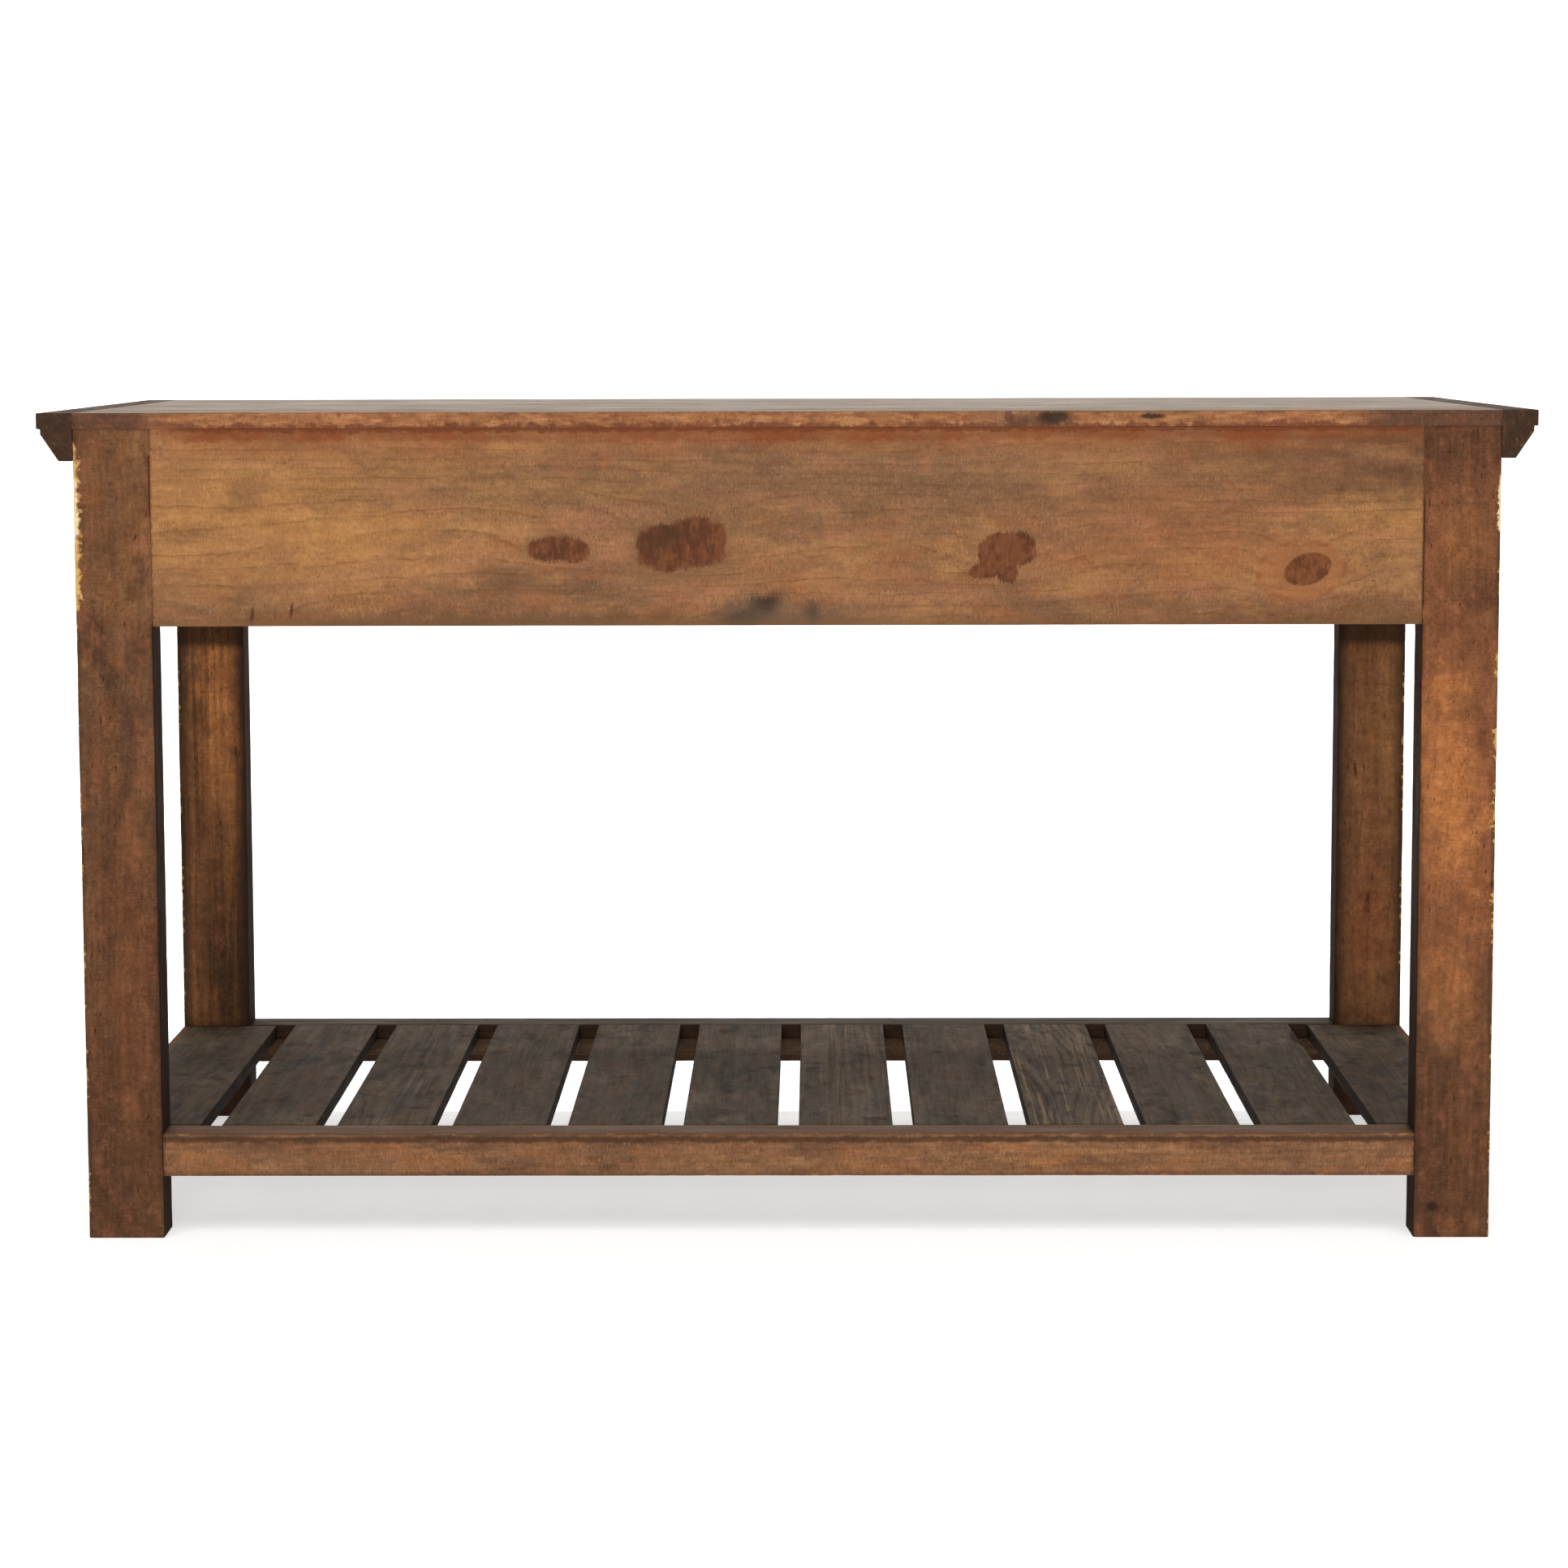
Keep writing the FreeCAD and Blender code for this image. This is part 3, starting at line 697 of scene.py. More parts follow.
def apron_lower_marks(wood):
    """The two dark spots, the shade round them and the two ticks near the lower edge."""
    wood.blot((78, 68, 56), 0.85, 0.7, -0.038, 0.594, 0.032, 0.015, 0.3, 0.006, 0.005)
    wood.blot((50, 38, 30), 0.95, 0.8, -0.02, 0.606, 0.012, 0.0075, 0.3, 0.004, 0.003)
    wood.blot((52, 46, 38), 0.8, HALF_SOFT, -0.042, 0.588, 0.015, 0.01, 0.2, 0.004, 0.003)
    wood.blot((58, 40, 31), 0.85, 0.8, 0.024, 0.597, 0.0085, 0.0075, 0.3, 0.003, 0.003)
    wood.blot((92, 72, 58), 0.7, SOFT, 0.02, 0.59, 0.06, 0.016, 0.0, 0.006, 0.005)
    wood.blot((92, 66, 46), 0.75, 0.8, -0.27, 0.589, 0.19, 0.011, 0.0, 0.006, 0.005)
    for x, z in ((-0.501, 0.596), (-0.464, 0.6)):
        wood.blot((76, 44, 26), 0.85, 0.5, x, z, 0.0016, 0.0075, -0.15, 0.001)


def apron_red_band(wood):
    """The red stain along the top of the front apron, darkest under the worktop."""
    s = wood.s
    inside = wood.along_row(X, -0.575, 0.61, 0.06)
    strength = s.step(wood.streaks(0.09, 0.5, 3.0), 0.4, 0.56, 0.45, 1.0)
    spread = wood.along_row(Z, 0.748, 0.8, 0.02, 0.012, 0.025)
    wood.tint(wood.both(spread, strength, inside), (130, 70, 38), 0.4)
    band = wood.along_row(Z, 0.758, 0.8, 0.005, 0.007, 0.012)
    blotch = s.step(wood.streaks(0.012, 0.008, 3.0, 0.6), 0.32, 0.5, 0.5, 1.0)
    wood.tint(wood.both(band, strength, inside, blotch), (118, 60, 32), 0.75)
    wood.tint(wood.both(wood.along_row(Z, 0.7665, 0.8, 0.003, 0.006, 0.01), inside), (98, 52, 30), 0.75)


def front_apron_wood():
    """Golden brown, with four large knots, two dark spots on the lower edge and a red stain along the top."""
    wood = Wood("front_apron_wood", (150, 107, 68), (135, 95, 64), (110, 79, 56), (135, 86, 55), (0.1, 0.04))
    apron_tones(wood)
    for x, z, half_x, half_z, amount in ((-0.214, 0.657, 0.03, 0.0125, 0.8), (-0.098, 0.661, 0.044, 0.026, 1.2),
                                         (0.205, 0.65, 0.03, 0.022, 1.0), (0.487, 0.636, 0.024, 0.016, 1.6)):
        wood.bend_rings(wood.spot(x, z, half_x, half_z), amount)
    wood.rings(0.015, 0.03, 0.16, 0.5, (112, 70, 40))
    wood.fibres(0.05, 0.075, 0.09)
    wood.mottle(0.035, 0.02, 0.085)
    wood.flecks(LIGHT_FLECK, DARK_FLECK, 0.35, 0.55)
    apron_knots(wood)
    apron_lower_marks(wood)
    apron_red_band(wood)
    wood.band((104, 74, 46), 0.5, Z, 0.5, APRON_FOOT + 0.0055, 0.006, 0.003)
    return wood.finish((0.0016, 0.6), 0.05, joint_colour=(86, 52, 32))


def front_left_tones(wood):
    """Darker towards the foot, a little lighter at the top."""
    wood.band((78, 52, 36), 0.7, Z, -0.3, 0.4, 0.6)
    wood.band((112, 76, 51), 0.4, Z, 0.62, 0.8, 0.2)
    wood.blot((112, 68, 44), 0.4, SOFT, -0.625, 0.28, 0.02, 0.12)


def front_right_tones(wood):
    """Reddish in the middle with golden patches, dark at the foot and under the worktop."""
    wood.band((134, 80, 52), 0.6, Z, 0.25, 0.62, 0.2)
    wood.band((80, 52, 37), 0.75, Z, -0.3, 0.2, 0.2)
    wood.band((118, 72, 48), 0.5, Z, 0.6, 0.9, 0.12)
    wood.band((74, 49, 36), 0.75, Z, 0.72, 0.9, 0.06)
    wood.blot((78, 52, 38), 0.7, SOFT, 0.65, 0.62, 0.03, 0.03, 0.0, 0.01)
    for x, z, half_x, half_z, amount in ((0.622, 0.425, 0.026, 0.07, 0.75), (0.62, 0.515, 0.026, 0.03, 0.45),
                                         (0.625, 0.66, 0.022, 0.03, 0.2), (0.622, 0.24, 0.024, 0.04, 0.35),
                                         (0.642, 0.345, 0.02, 0.04, 0.25)):
        wood.blot((172, 110, 62), amount, SOFT, x, z, half_x, half_z, 0.1, 0.012)


def rear_left_tones(wood):
    """A long orange flame of grain, dark lines on its left and a dark foot."""
    bow = wood.mask(wood.spot(-0.6245, 0.45, 0.02, 0.18, 0.04, 0.012), 0.8)
    wood.tint(bow, (172, 112, 66), 0.95)
    flame = wood.patchy(0.52, 0.64, 0.3, 0.003, 3.0, 0.55, (8.0, 1.5, 0.4))
    wood.tint(wood.both(bow, flame), (192, 130, 80), 0.4)
    left_half = wood.mask(wood.spot(-0.648, 0.4, 0.026, 0.3, 0.03, 0.01), 0.8)
    lines = wood.patchy(0.48, 0.62, 0.3, 0.005, 3.0, 0.55)
    wood.tint(wood.both(left_half, lines), (64, 43, 30), 0.6)
    wood.blot((54, 41, 33), 0.75, SOFT, -0.608, 0.2, 0.03, 0.14, 0.0, 0.014)


def rear_right_tones(wood):
    """Two lighter areas and two short dents."""
    s = wood.s
    wood.blot((128, 76, 50), 0.6, SOFT, 0.632, 0.22, 0.022, 0.05, 0.0, 0.01)
    wood.blot((128, 90, 58), 0.5, SOFT, 0.645, 0.4, 0.012, 0.07, 0.0, 0.01)
    dents = s.math("MINIMUM", wood.spot(0.6136, 0.382, 0.0016, 0.009, 0.1, 0.001),
                   wood.spot(0.6285, 0.236, 0.0022, 0.013, -0.1, 0.001))
    wood.tint(wood.mask(dents, HALF_SOFT), (58, 22, 15), 0.85)


def arris_crack(wood, on_outer, width, low, high, blur, colour):
    """A fine dark crack along the inner front arris, between two heights."""
    s = wood.s
    near = s.step(wood.edge, width, 0.8 * MM)
    on_inner = s.minus(1.0, on_outer)
    wood.tint(wood.both(near, wood.along_row(Z, low, high, blur), on_inner), colour, 0.9)


def front_left_wear(wood, on_outer):
    """Pale chips along the upper outer arris."""
    upper = wood.both(on_outer, wood.along_row(Z, 0.6, 0.755, 0.03))
    wood.worn_edges((188, 140, 88), 0.0095, 0.75, upper, 0.1, 0.3, 0.45)
    wood.worn_edges(BARE, 0.0075, 0.9, upper, 0.2, 0.4, 0.3)
    brightest = wood.both(upper, wood.along_row(Z, 0.665, 0.725, 0.02))
    wood.worn_edges(CREAM, 0.0065, 0.85, brightest, 0.1, 0.3, 0.5)
    arris_crack(wood, on_outer, 0.0024, 0.688, 0.746, 0.004, (70, 38, 22))


def front_right_wear(wood, on_outer):
    """Pale chips in the middle of the outer arris and near its top, and a dent at the foot."""
    chips = wood.both(on_outer, wood.along_row(Z, 0.3, 0.56, 0.05))
    wood.worn_edges((192, 156, 92), 0.0075, 0.8, chips, 0.36, 0.52)
    upper = wood.both(on_outer, wood.along_row(Z, 0.672, 0.722, 0.01))
    wood.worn_edges(CREAM, 0.005, 0.85, upper, 0.1, 0.3, 0.5)
    arris_crack(wood, on_outer, 0.0022, 0.6, 0.705, 0.01, (58, 34, 22))
    wood.blot((46, 32, 24), 0.8, CRISP, 0.612, 0.03, 0.005, 0.0045, 0.0, 0.001, 0.0008)


def rear_painted_shade(wood, _):
    """Painted shadow of the aprons on the front face and painted shade at the foot; no arris is picked out."""
    front_face = wood.along_row(Y, 0.0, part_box("leg_rear_left")[0][Y] + 0.002, 0.002)
    # Painted shadow, nearly black, cast by the aprons on the upper front face
    wood.tint(wood.both(wood.along_row(Z, 0.519, ABOVE, 0.012), front_face), (40, 29, 21), 0.8)
    # Painted shade at the foot, under the shelf
    wood.band((44, 33, 26), 0.85, Z, -0.1, 0.1, 0.02)


def leg_wood(name, orange, side, tones, wear, front=False):
    """Dark brown, sawn across, with painted shade on its inner sides and, on the rear legs, along its arrises.

    orange is the share of orange streaks; tones lays the leg's own areas under the grain, and wear its
    own marks over it, which on the rear legs are painted shadow and shade."""
    cloud = (0.06, 0.03) if front else (0.12, 0.02)
    wood = Wood(name, (114, 80, 54), (94, 66, 46), (69, 50, 39), (112, 69, 45), cloud)
    s = wood.s
    if not front:
        wood.tint(EVERYWHERE, (140, 94, 58), 0.4)
    tones(wood)
    streaks = wood.patchy(0.47, 0.62, 0.22, 0.009, 4.0, 0.6, (6.6, 2.0, 3.1))
    wood.tint(streaks, (150, 100, 58), orange)
    wood.stains((76, 54, 42), 0.3 if side > 0 else 0.5, 0.06, 0.03, offset=(1.4, 5.7, 7.2))
    wood.stains((126, 78, 54), 0.45, 0.04, 0.02, offset=(9.4, 3.7, 1.2))
    wood.rings(0.009, 0.03, 0.2, 0.06 if front else 0.4)
    wood.fibres(0.03, 0.14, 0.035)
    wood.shade(wood.streaks(0.0022, 0.02, 4.0, 0.65, (1.7, 3.3, 0.9)), 0.06)
    wood.mottle(0.018, 0.02, 0.13)
    wood.flecks((176, 134, 94), DARK_FLECK, 0.22, 0.6)
    wood.nicks((44, 26, 18), 0.8, 0.7)
    # Painted shade along the arrises of the rear legs
    if not front:
        wood.tint(s.step(wood.edge, 0.016, 0.001), (56, 41, 33), 0.75)
    from_middle = s.parts(wood.place)[X]
    on_outer = s.step(s.times(from_middle, side), 0.62, 0.64)
    free = s.math("MAXIMUM", on_outer, wood.along_row(Z, BELOW, APRON_FOOT, 0.002))
    wood.edge_stain((60, 42, 31), 0.005, 0.5 if front else 0.75, free)
    # Painted shade, nearly black, on the inner side faces
    inward = s.step(s.math("ABSOLUTE", from_middle), 0.6, 0.605, 1.0, 0.0)
    wood.tint(wood.both(wood.side_faces(), inward), (38, 28, 23), 0.9)
    wood.worn_edges((184, 148, 92), 0.0036, 0.75, on_outer, 0.34, 0.52)
    wear(wood, on_outer)
    return wood.finish((0.002, 0.3), 0.01, 0.75)


def front_edge_tones(wood, edge_face):
    """The front board's long edge: orange brown, with dark ends and a red lower arris."""
    s = wood.s
    wood.tint(edge_face, (140, 89, 54), 0.9)
    pale = wood.patchy(0.46, 0.64, 0.03, 0.006, 4.0, 0.65, (1.1, 8.8, 2.0))
    wood.tint(wood.both(edge_face, pale), (186, 130, 86), 0.5)
    middle = wood.along_row(X, -0.592, 0.54, 0.05, 0.01, 0.02)
    wood.tint(wood.both(edge_face, s.minus(1.0, middle)), (78, 51, 38), 0.92)
    stained = wood.along_row(X, -0.58, 0.56, 0.05)
    lower = wood.along_row(Z, 0.76, 0.7735, 0.005, 0.012, 0.012)
    wood.tint(wood.both(edge_face, lower, stained), (98, 52, 30), 0.85)
    blotch = wood.patchy(0.5, 0.66, 0.016, 0.01, 3.0, 0.6, (2.2, 4.1, 7.9))
    wood.tint(wood.both(edge_face, blotch), (112, 62, 38), 0.6)


def front_edge_marks(wood, edge_face):
    """A smear and two chips on the front board's long edge."""
    s = wood.s
    smear = wood.spot(0.228, 0.7775, 0.024, 0.0055, 0.1, 0.002, 0.001)
    wood.tint(wood.both(edge_face, wood.mask(smear, 0.7)), (86, 56, 38), 0.7)
    chips = s.math("MINIMUM", wood.spot(0.251, 0.7785, 0.0145, 0.006, 0.0, 0.002, 0.001),
                   wood.spot(0.341, 0.7795, 0.012, 0.0022, 0.0, 0.001, 0.001))
    chipped = wood.both(edge_face, wood.mask(chips, CRISP))
    wood.tint(chipped, (44, 32, 25), 0.9)
    wood.add_height(chipped, -3.0)


def top_wood(name, front=False, aged=0.0):
    """Grey from use on top, with its long edges brown; aged is the share of a darker grey."""
    wood = Wood(name, (154, 124, 84), (134, 107, 72), (98, 80, 58), (144, 102, 64), (0.14, 0.03))
    s = wood.s
    distance = wood.scattered_knots()
    wood.bend_rings(distance, 1.5)
    wood.rings(0.012, 0.06, 0.3)
    wood.tint(EVERYWHERE, (108, 88, 66), aged)
    wood.band((134, 92, 58), 0.85, Y, cad_high[Y] - 0.0015, ABOVE, 0.001)
    edge_face = wood.along_row(Y, BELOW, cad_low[Y] + 0.0015, 0.001)
    if front:
        front_edge_tones(wood, edge_face)
    wood.fibres(0.1, 0.08, 0.08)
    wood.flecks((206, 160, 112), DARK_FLECK, 0.22 if front else 0.4)
    wood.knot(distance)
    if front:
        front_edge_marks(wood, edge_face)
    wood.edge_stain(wood.deep, 0.002, 0.4, wood.along_row(Z, TOP_FACE - 0.009, ABOVE, 0.001))
    wood.worn_edges((176, 122, 78), 0.0016, 0.6, wood.along_row(Z, TOP_FACE - 0.007, ABOVE, 0.001))
    between = wood.both(wood.along_row(Y, cad_low[Y] + 0.01, cad_high[Y] - 0.01, 0.002),
                        wood.along_row(Z, TOP_FACE - 0.001, ABOVE, 0.0005))
    wood.tint(wood.both(s.step(wood.edge, 0.0014, 0.0004), between), JOINT, 0.7)
    return wood.finish((0.003, 0.4), 0.12 if front else 0.3, 0.55, 0.14)


def stretcher_wood(name, painted_shade_mask=None):
    """Orange brown; dark along the upper arris. The second argument says where an inner face gets painted
    shade.
    """
    wood = Wood(name, (139, 100, 68), (122, 87, 62), (95, 69, 51), (130, 85, 56), (0.12, 0.02))
    wood.stains((150, 98, 58), 0.5, 0.08, 0.02)
    wood.stains((88, 62, 46), 0.55, 0.07, 0.02, offset=(1.4, 5.7, 7.2))
    wood.rings(0.01, 0.04, 0.15, 0.15)
    wood.fibres(0.06, 0.1, 0.12)
    wood.mottle(0.02, 0.012, 0.1)
    wood.flecks((200, 156, 104), DARK_FLECK, 0.4)
    wood.band((66, 46, 34), 0.8, Z, 0.0925, 0.0985, 0.004, 0.004, 0.015)
    wood.band((84, 58, 42), 0.5, Z, 0.0, 0.0635, 0.004, 0.002, 0.015)
    wood.band((96, 72, 54), 0.7, Z, 0.0995, 0.2, 0.001)
    wood.worn_edges((164, 120, 82), 0.003, 0.6, low=0.4)
    if painted_shade_mask is not None:
        low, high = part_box("stretcher_rear")
        upper = wood.along_row(Z, high[Z] - 0.003, 0.2, 0.001)
        wood.tint(wood.both(upper, wood.along_row(Y, low[Y] - 0.01, ABOVE, 0.001)), (62, 52, 43), 0.9)
        # Painted shade, nearly black, on the inner face that lies in the shade of the shelf
        wood.tint(painted_shade_mask(wood), (60, 46, 36), 0.85)
    return wood.finish((0.0025, 0.5), 0.03)


def rear_face_in_shade(wood):
    """The front face of the rear stretcher, where shade is painted."""
    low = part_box("stretcher_rear")[0]
    return wood.along_row(Y, low[Y] - 0.01, low[Y] + 0.003, 0.001)


def side_faces_in_shade(wood):
    """The inner faces of the two side stretchers, where shade is painted."""
    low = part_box("stretcher_right")[0]
    inwards = wood.s.math("ABSOLUTE", wood.s.parts(wood.place)[X])
    return wood.s.step(inwards, low[X] + 0.002, low[X] + 0.004, 1.0, 0.0)


def slat_wood(name, streaky=0.0, side=0):
    """Dark grey brown with brown patches and lightly rubbed arrises.

    streaky is the strength of pale stripes, and side is -1 or 1 for the outer slats, whose rims are brown."""
    wood = Wood(name, (96, 83, 69), (81, 71, 59), (63, 56, 49), (92, 73, 57), (0.1, 0.04))
    s = wood.s
    distance = wood.scattered_knots(0.011, 0.5, 0.11)
    wood.bend_rings(distance, 1.4)
    wood.rings(0.014, 0.04 + 0.1 * streaky, 0.3, 0.2 + 0.3 * streaky)
    if streaky:
        lines = wood.patchy(0.5, 0.62, 0.25, 0.005, 2.0, 0.5)
        patch = s.step(wood.streaks(0.16, 0.06, 2.0, 0.5, (5.2, 0.3, 1.6)), 0.38, 0.56, 0.35, 1.0)
        wood.tint(wood.both(lines, patch), (136, 112, 88), 0.8 * streaky)
    wood.fibres(0.06, 0.06, 0.05)
    wood.shade(wood.streaks(0.12, 0.0016, 3.0, 0.6), 0.1)
    wood.mottle(0.02, 0.015, 0.08)
    wood.tint(wood.patchy(0.54, 0.7, 0.04, 0.03, 4.0, 0.6, (3.3, 0.1, 8.0)), (46, 40, 34), 0.6)
    wood.flecks((140, 118, 92), (36, 30, 26), 0.2, 0.4)
    wood.knot(distance, dark=(58, 42, 32), heart=(40, 30, 24))
    # Painted shade, nearly black, on the narrow side faces between the slats
    wood.tint(wood.side_faces(), (32, 23, 18), 0.9)
    wood.worn_edges((120, 92, 66), 0.0016, 0.6, low=0.3)
    if side:
        outer = s.step(s.times(s.parts(wood.place)[X], side), 0.655, 0.66)
        wood.tint(wood.both(s.step(wood.edge, 0.012, 0.004), outer), (120, 80, 50), 0.6)
    return wood.finish((0.003, 0.4), 0.02, 0.75)


def plain_wood(name, pale, body, deep, warm, specular, knots=True, edge=0.003, roughness=0.62):
    """A board that shows no particular mark; edge is the width of its bare arrises."""
    wood = Wood(name, pale, body, deep, warm)
    if knots:
        distance = wood.scattered_knots()
        wood.bend_rings(distance, 1.5)
    wood.rings(0.012, 0.05, 0.25, 0.45)
    wood.fibres(0.08, 0.06, 0.09)
    wood.flecks(LIGHT_FLECK, DARK_FLECK, 0.4)
    if knots:
        wood.knot(distance)
    wood.edge_stain(deep, 0.006, 0.35)
    if edge:
        wood.worn_edges(BARE, edge, 0.7)
    return wood.finish((0.004, 0.5), specular, roughness)


def make_materials():
    return {
        "apron_front": front_apron_wood(),
        "apron": plain_wood("apron_wood", (150, 107, 67), (134, 94, 62), (102, 75, 53), (138, 88, 54), 0.05),
        "leg_front_left": leg_wood("leg_front_left_wood", 0.08, -1, front_left_tones, front_left_wear, True),
        "leg_front_right": leg_wood("leg_front_right_wood", 0.12, 1, front_right_tones, front_right_wear, True),
        "leg_rear_left": leg_wood("leg_rear_left_wood", 0.4, -1, rear_left_tones, rear_painted_shade),
        "leg_rear_right": leg_wood("leg_rear_right_wood", 0.15, 1, rear_right_tones, rear_painted_shade),
        "top_front": top_wood("top_front_wood", True),
        "top": top_wood("top_wood"),
        "top_aged": top_wood("top_aged_wood", aged=0.35),
        "moulding": plain_wood("moulding_wood", (100, 74, 56), (82, 61, 48), (60, 46, 37),
                               (94, 62, 45), 0.03, knots=False, edge=0.002),
        "stretcher": stretcher_wood("stretcher_wood"),
        "stretcher_rear": stretcher_wood("rear_stretcher_wood", rear_face_in_shade),
        "stretcher_side": stretcher_wood("side_stretcher_wood", side_faces_in_shade),
        "slat": slat_wood("slat_wood"),
        "slat_faint": slat_wood("slat_faint_wood", 0.35),
        "slat_streaky": slat_wood("slat_streaky_wood", 1.0),
        "slat_left": slat_wood("slat_left_wood", 0.0, -1),
        "slat_right": slat_wood("slat_right_wood", 0.0, 1),
        "hidden": plain_wood("batten_wood", (96, 75, 58), (79, 61, 48), (58, 47, 39), (88, 63, 47),
                             0.03, knots=False, edge=0.0, roughness=0.75),
    }


def screw_steel():
    """Dull zinc plating with fine turning marks and darker patches."""
    s = Shader("screw_steel")
    place = s.node("ShaderNodeTexCoord").outputs["Object"]
    patches = s.noise(place, 160.0, 3.0, 0.6)
    colour = s.mix(s.step(patches, 0.35, 0.7), rgb(150, 144, 130), rgb(104, 96, 84))
    s.set("Base Color", colour)
    s.set("Roughness", s.step(s.noise(place, 900.0, 2.0), 0.3, 0.7, 0.32, 0.55))
    s.set("Metallic", 1.0)
    relief = s.node("ShaderNodeBump", {"Strength": 0.3, "Distance": 0.2 * MM, "Height": patches})
    s.set("Normal", relief.outputs[0])
    return s.material


# ---------------------------------------------------------------- the bench

MATERIALS = make_materials()

# Each leg's two arrises that lie beside the aprons
FLUSH_ARRISES = {"leg_front_left": (3, 1), "leg_front_right": (2, 0),
                 "leg_rear_left": (0, 2), "leg_rear_right": (1, 3)}

# The rails and slats, counted from 0, that have a finish of their own
RAIL_LOOKS = {"apron_front": "apron_front", "stretcher_rear": "stretcher_rear",
              "stretcher_left": "stretcher_side", "stretcher_right": "stretcher_side"}
SLAT_LOOKS = {2: "slat_faint", 6: "slat_faint", 8: "slat_streaky"}


def seed_of(seeds, index):
    first, step = seeds
    return first + step * index


def build_legs():
    for index, (node, flush) in enumerate(FLUSH_ARRISES.items()):
        low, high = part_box(node)
        mesh = board(node + "_wood", Z, low, high, seed_of(LEG_SEEDS, index), arris=1.6 * MM, wear=3 * MM,
                     wobble=0.25 * MM, ends=(1.5 * MM, 0.15 * MM), tight=flush, tight_from=APRON_FOOT)
        show(mesh, MATERIALS[node], node)


def build_rails():
    """Aprons and stretchers, between the legs, with their tenons."""
    for index, name in enumerate(("front", "rear", "left", "right")):
        for kind, tenon_shares in (("apron", (0.8, 0.36)), ("stretcher", (0.6, 0.35))):
            node = kind + "_" + name
            low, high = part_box(node)
            along = X if name in ("front", "rear") else Y
            shoulder = LEG_INNER_X if along == X else LEG_INNER_Y
            tenon_length = high[along] - shoulder
            low[along], high[along] = -shoulder, shoulder
            tenon = (tenon_length, *tenon_shares, 0.0)
            upper = 0.3 * MM if kind == "apron" else 1.5 * MM
            arris = (upper, 1.2 * MM, 1.2 * MM, upper) if kind == "apron" else 1.5 * MM
            wear = (0, 1.5 * MM, 1.5 * MM, 0) if kind == "apron" else 1.5 * MM
            mesh = board(node + "_wood", along, low, high, seed_of(RAIL_SEEDS, index), arris=arris, wear=wear,
                         tenon=tenon, ends=(0.3 * MM, 0.3 * MM))
            show(mesh, MATERIALS[RAIL_LOOKS.get(node, kind)], node)


def build_top():
    """The worktop's boards; each box includes a tongue that lies in the next board."""
    count = sum(node.startswith("top_board_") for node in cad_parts)
    for index in range(count):
        node = "top_board_" + str(index + 1)
        low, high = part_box(node)
        if index < count - 1:
            high[Y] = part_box("top_board_" + str(index + 2))[0][Y]
        # The joints between boards are tight; the front board's upper front arris is worn a little more
        arris = [0.5 * MM, 0.5 * MM, 0.2 * MM, 0.2 * MM]
        wear = [0.4 * MM, 0.4 * MM, 0, 0]
        if index == 0:
            arris[1], wear[1] = 0.8 * MM, 1.2 * MM
        mesh = board(node + "_wood", X, low, high, seed_of(TOP_SEEDS, index), arris=arris, wear=wear,
                     ends=(0.3 * MM, 0.3 * MM))
        look = "top_front" if index == 0 else ("top_aged", "top")[index % 2]
        show(mesh, MATERIALS[look], node)


def build_mouldings():
    """The stepped and bevelled end strips."""
    foot, neck_drop, step_in = 13 * MM, 5 * MM, 3.8 * MM
    for side, name in ((-1, "left"), (1, "right")):
        node = "end_moulding_" + name
        low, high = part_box(node)
        width, height = high[X] - low[X], high[Z] - low[Z]
        # From the inner foot, up the bevel to the small step, the lip and over the worktop's height
        lip = TOP_UNDERSIDE - low[Z]
        outline = [(0, 0), (foot, 0), (width - step_in, lip - neck_drop), (width - step_in, lip),
                   (width, lip), (width, height), (0, height)]
        centre = [(a + b) / 2 for a, b in zip(low, high)]
        points = [(side * (u - width / 2), v - height / 2) for u, v in outline]
        if side < 0:
            points = points[::-1]
        middle = (-side * 0.1 * width, 0.25 * height)
        section = Section([(v, u) for u, v in points[::-1]], middle[::-1])
        mesh = timber(node + "_wood", (Y, Z, X), centre, high[Y] - low[Y], section, MOULDING_SEED + side,
                      arris=1 * MM, wear=1 * MM, wobble=0.1 * MM)
        show(mesh, MATERIALS["moulding"], node)


def build_slats():
    """The shelf; the outer slats are notched round the legs, so their ends are made as tenons on one side."""
    count = sum(node.startswith("slat_") and node[5:].isdigit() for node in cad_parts)
    for index in range(count):
        node = "slat_" + str(index + 1).zfill(2)
        low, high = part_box(node)
        tenon = None
        look = SLAT_LOOKS.get(index, "slat")
        if index in (0, count - 1):
            side = -1 if index == 0 else 1
            look = "slat_left" if side < 0 else "slat_right"
            width = high[X] - low[X]
            inner_x = min(abs(low[X]), abs(high[X]))
            tongue = LEG_INNER_X - inner_x
            shift = side * (tongue - width) / 2
            tenon = (high[Y] - LEG_INNER_Y, tongue / width, 1.0, shift)
            low[Y], high[Y] = -LEG_INNER_Y, LEG_INNER_Y
        mesh = board(node + "_wood", Y, low, high, seed_of(SLAT_SEEDS, index), arris=1.2 * MM, wear=1.2 * MM,
                     tenon=tenon)
        show(mesh, MATERIALS[look], node)


def build_hidden_strips():
    """Ledgers under the slats, and cleats and battens under the top."""
    kinds = ("ledger_", "cleat_", "batten_")
    names = [node for node in sorted(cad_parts) if any(kind in node for kind in kinds)]
    for index, node in enumerate(name for name in names if not name.endswith("screws")):
        low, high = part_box(node)
        along = X if high[X] - low[X] > high[Y] - low[Y] else Y
        mesh = board(node + "_wood", along, low, high, seed_of(STRIP_SEEDS, index), arris=0.8 * MM,
                     wear=0.8 * MM)
        show(mesh, MATERIALS["hidden"], node)


def finish_screws():
    """The screws keep their CAD shapes."""
    steel = screw_steel()
    for name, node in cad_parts.items():
        if name.endswith("screws"):
            node.data.materials.clear()
            node.data.materials.append(steel)


# ---------------------------------------------------------------- studio

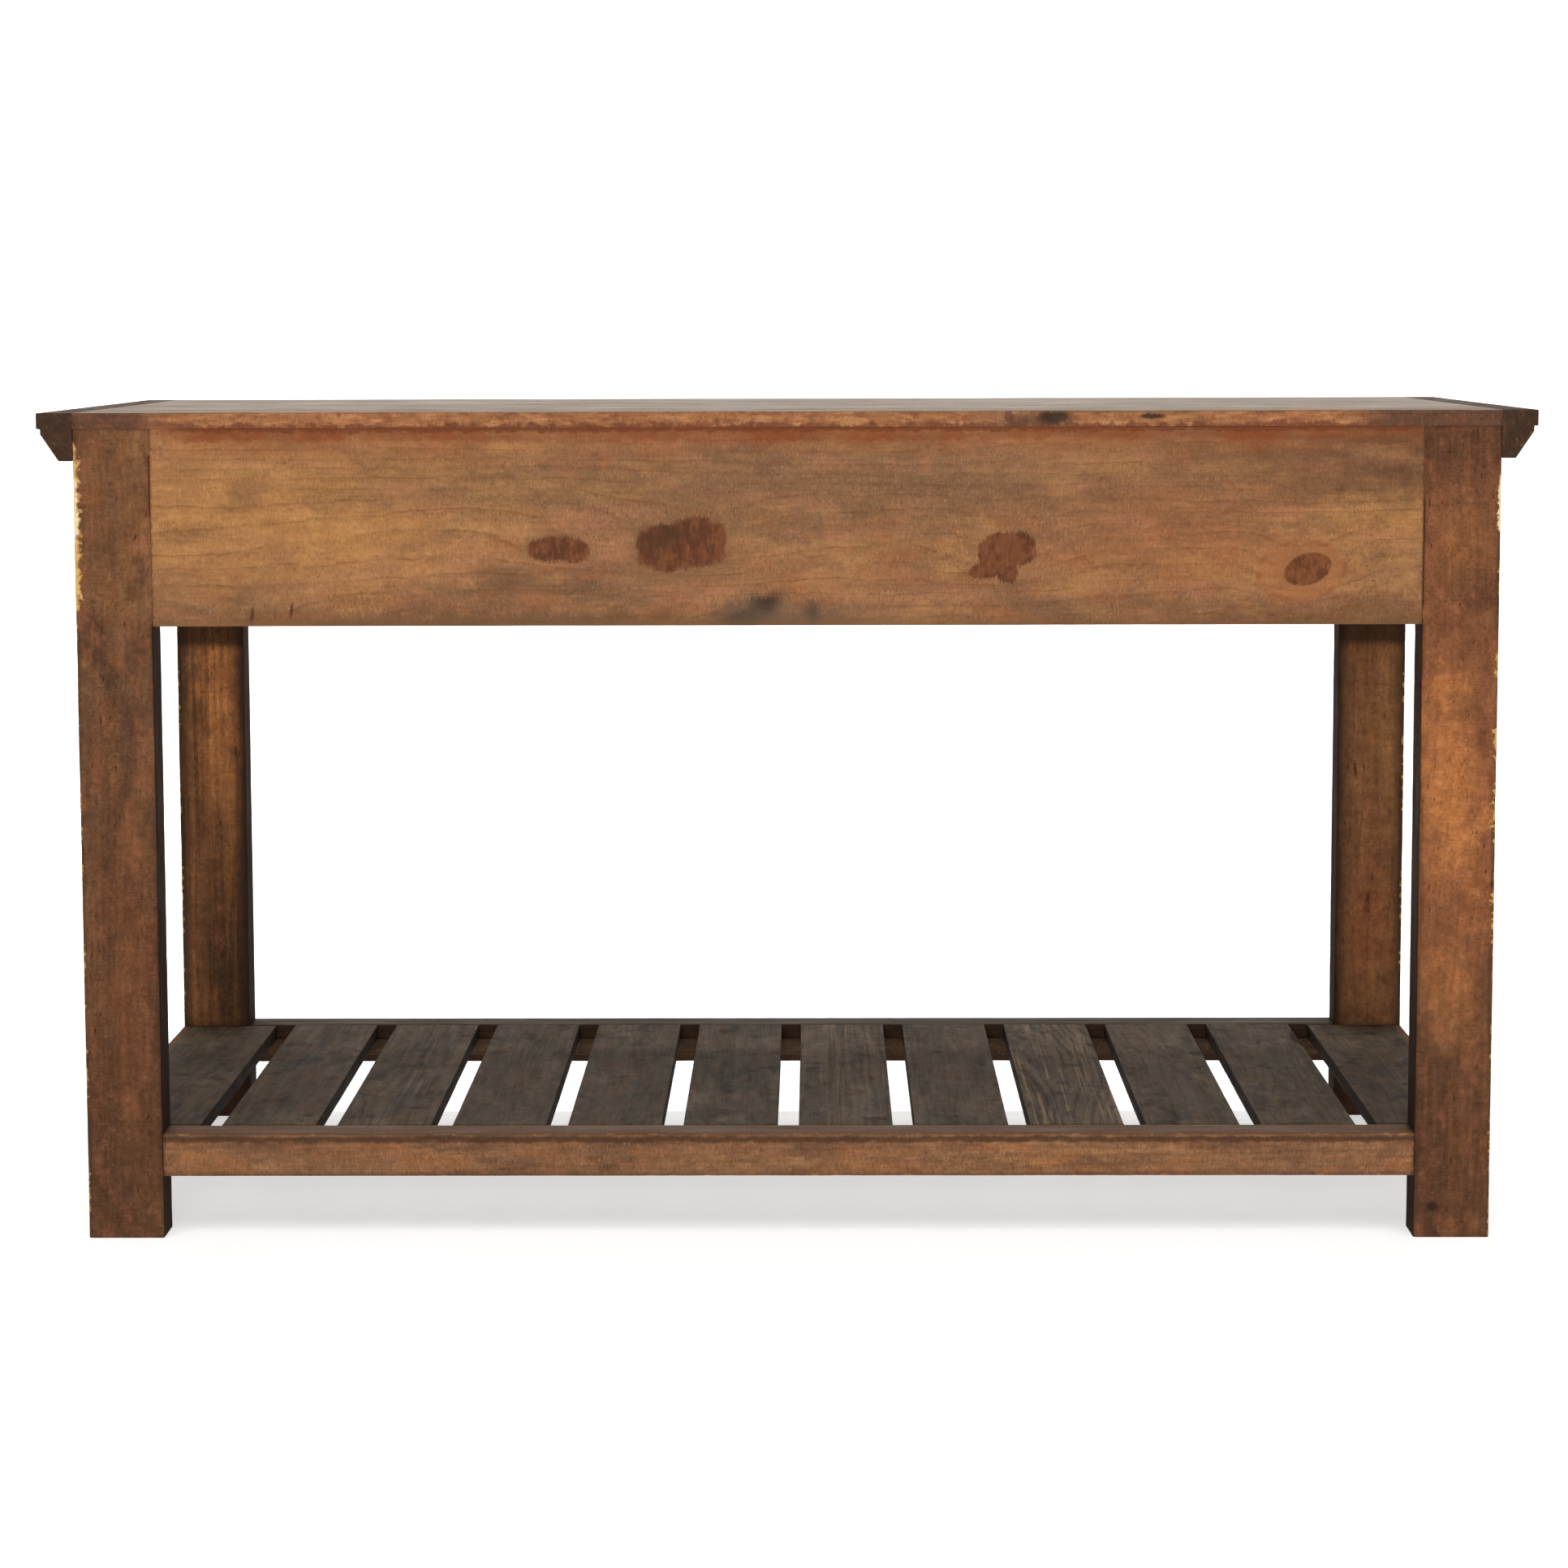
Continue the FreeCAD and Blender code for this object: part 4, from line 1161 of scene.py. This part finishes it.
def make_floor():
    """A pale floor that curves up into a backdrop, and gives off a little light so that shadows stay faint."""
    half_width, front, back, rise = 30.0, -40.0, 5.0, 5.0
    radius, steps = 2.0, 16
    grey, self_light = 0.8, 0.55
    outline = [(front, 0.0), (back - radius, 0.0)]
    for step in range(1, steps + 1):
        angle = step / steps * math.pi / 2
        outline.append((back - radius + radius * math.sin(angle), radius - radius * math.cos(angle)))
    outline.append((back, rise))
    points = [(x, y, z) for y, z in outline for x in (-half_width, half_width)]
    faces = [(2 * i, 2 * i + 1, 2 * i + 3, 2 * i + 2) for i in range(len(outline) - 1)]
    mesh = bpy.data.meshes.new("studio_floor")
    mesh.from_pydata(points, [], faces)
    mesh.polygons.foreach_set("use_smooth", [True] * len(faces))
    floor = add_object("studio_floor", mesh)
    s = Shader("studio_floor")
    s.set("Base Color", (grey, grey, grey, 1))
    s.set("Roughness", 0.9)
    s.set("Emission Color", (1, 1, 1, 1))
    s.set("Emission Strength", self_light)
    mesh.materials.append(s.material)


def soft_light(name, place, target, size, power, colour=(1, 1, 1)):
    """A soft box of this size in metres and power in watts, turned towards a target."""
    light = bpy.data.lights.new(name, "AREA")
    light.shape = "RECTANGLE"
    light.size, light.size_y = size
    light.energy = power
    light.color = colour
    lamp = add_object(name, light)
    lamp.location = place
    lamp.rotation_euler = (Vector(target) - Vector(place)).to_track_quat("-Z", "Y").to_euler()


def light_studio():
    world = bpy.data.worlds.new("studio")
    bpy.context.scene.world = world
    world.use_nodes = True
    sky = world.node_tree.nodes["Background"].inputs
    sky["Color"].default_value = (1, 1, 1, 1)
    sky["Strength"].default_value = 0.22
    middle = (0, 0, 0.45)
    warm_white = (1, 0.97, 0.93)
    soft_light("key", (-0.5, -4.6, 1.15), middle, (1.4, 0.8), 46, warm_white)
    soft_light("fill", (1.9, -4.0, 0.7), middle, (1.6, 0.8), 14, warm_white)
    soft_light("floor_light", (0, -3.4, 3.6), (0, -3.4, 0), (7.0, 3.0), 150)
    soft_light("backdrop_light", (0, 1.4, 3.4), (0, 4.6, 1.0), (7.0, 1.0), 200)
    bpy.context.scene.view_settings.view_transform = "Standard"


def make_camera():
    """A little above the worktop, 3.5 m in front, looking slightly down."""
    across, distance, eye_height = 0.027, 3.522, 0.868
    tilt_down, turn_left, roll_left = 6.0, 0.48, -0.15
    camera = bpy.data.cameras.new("camera")
    camera.sensor_width = 36
    camera.lens = 86.6
    camera.shift_y = -0.042
    camera.clip_end = 60
    eye = add_object("camera", camera)
    eye.location = (across, cad_low[Y] - distance, eye_height)
    tilt = Euler((math.radians(90 - tilt_down), 0, 0)).to_matrix()
    turn = Euler((0, 0, math.radians(turn_left))).to_matrix()
    roll = Euler((0, 0, math.radians(roll_left))).to_matrix()
    eye.rotation_euler = (turn @ tilt @ roll).to_euler()
    bpy.context.scene.camera = eye


build_legs()
build_rails()
build_top()
build_mouldings()
build_slats()
build_hidden_strips()
finish_screws()
make_floor()
light_studio()
make_camera()
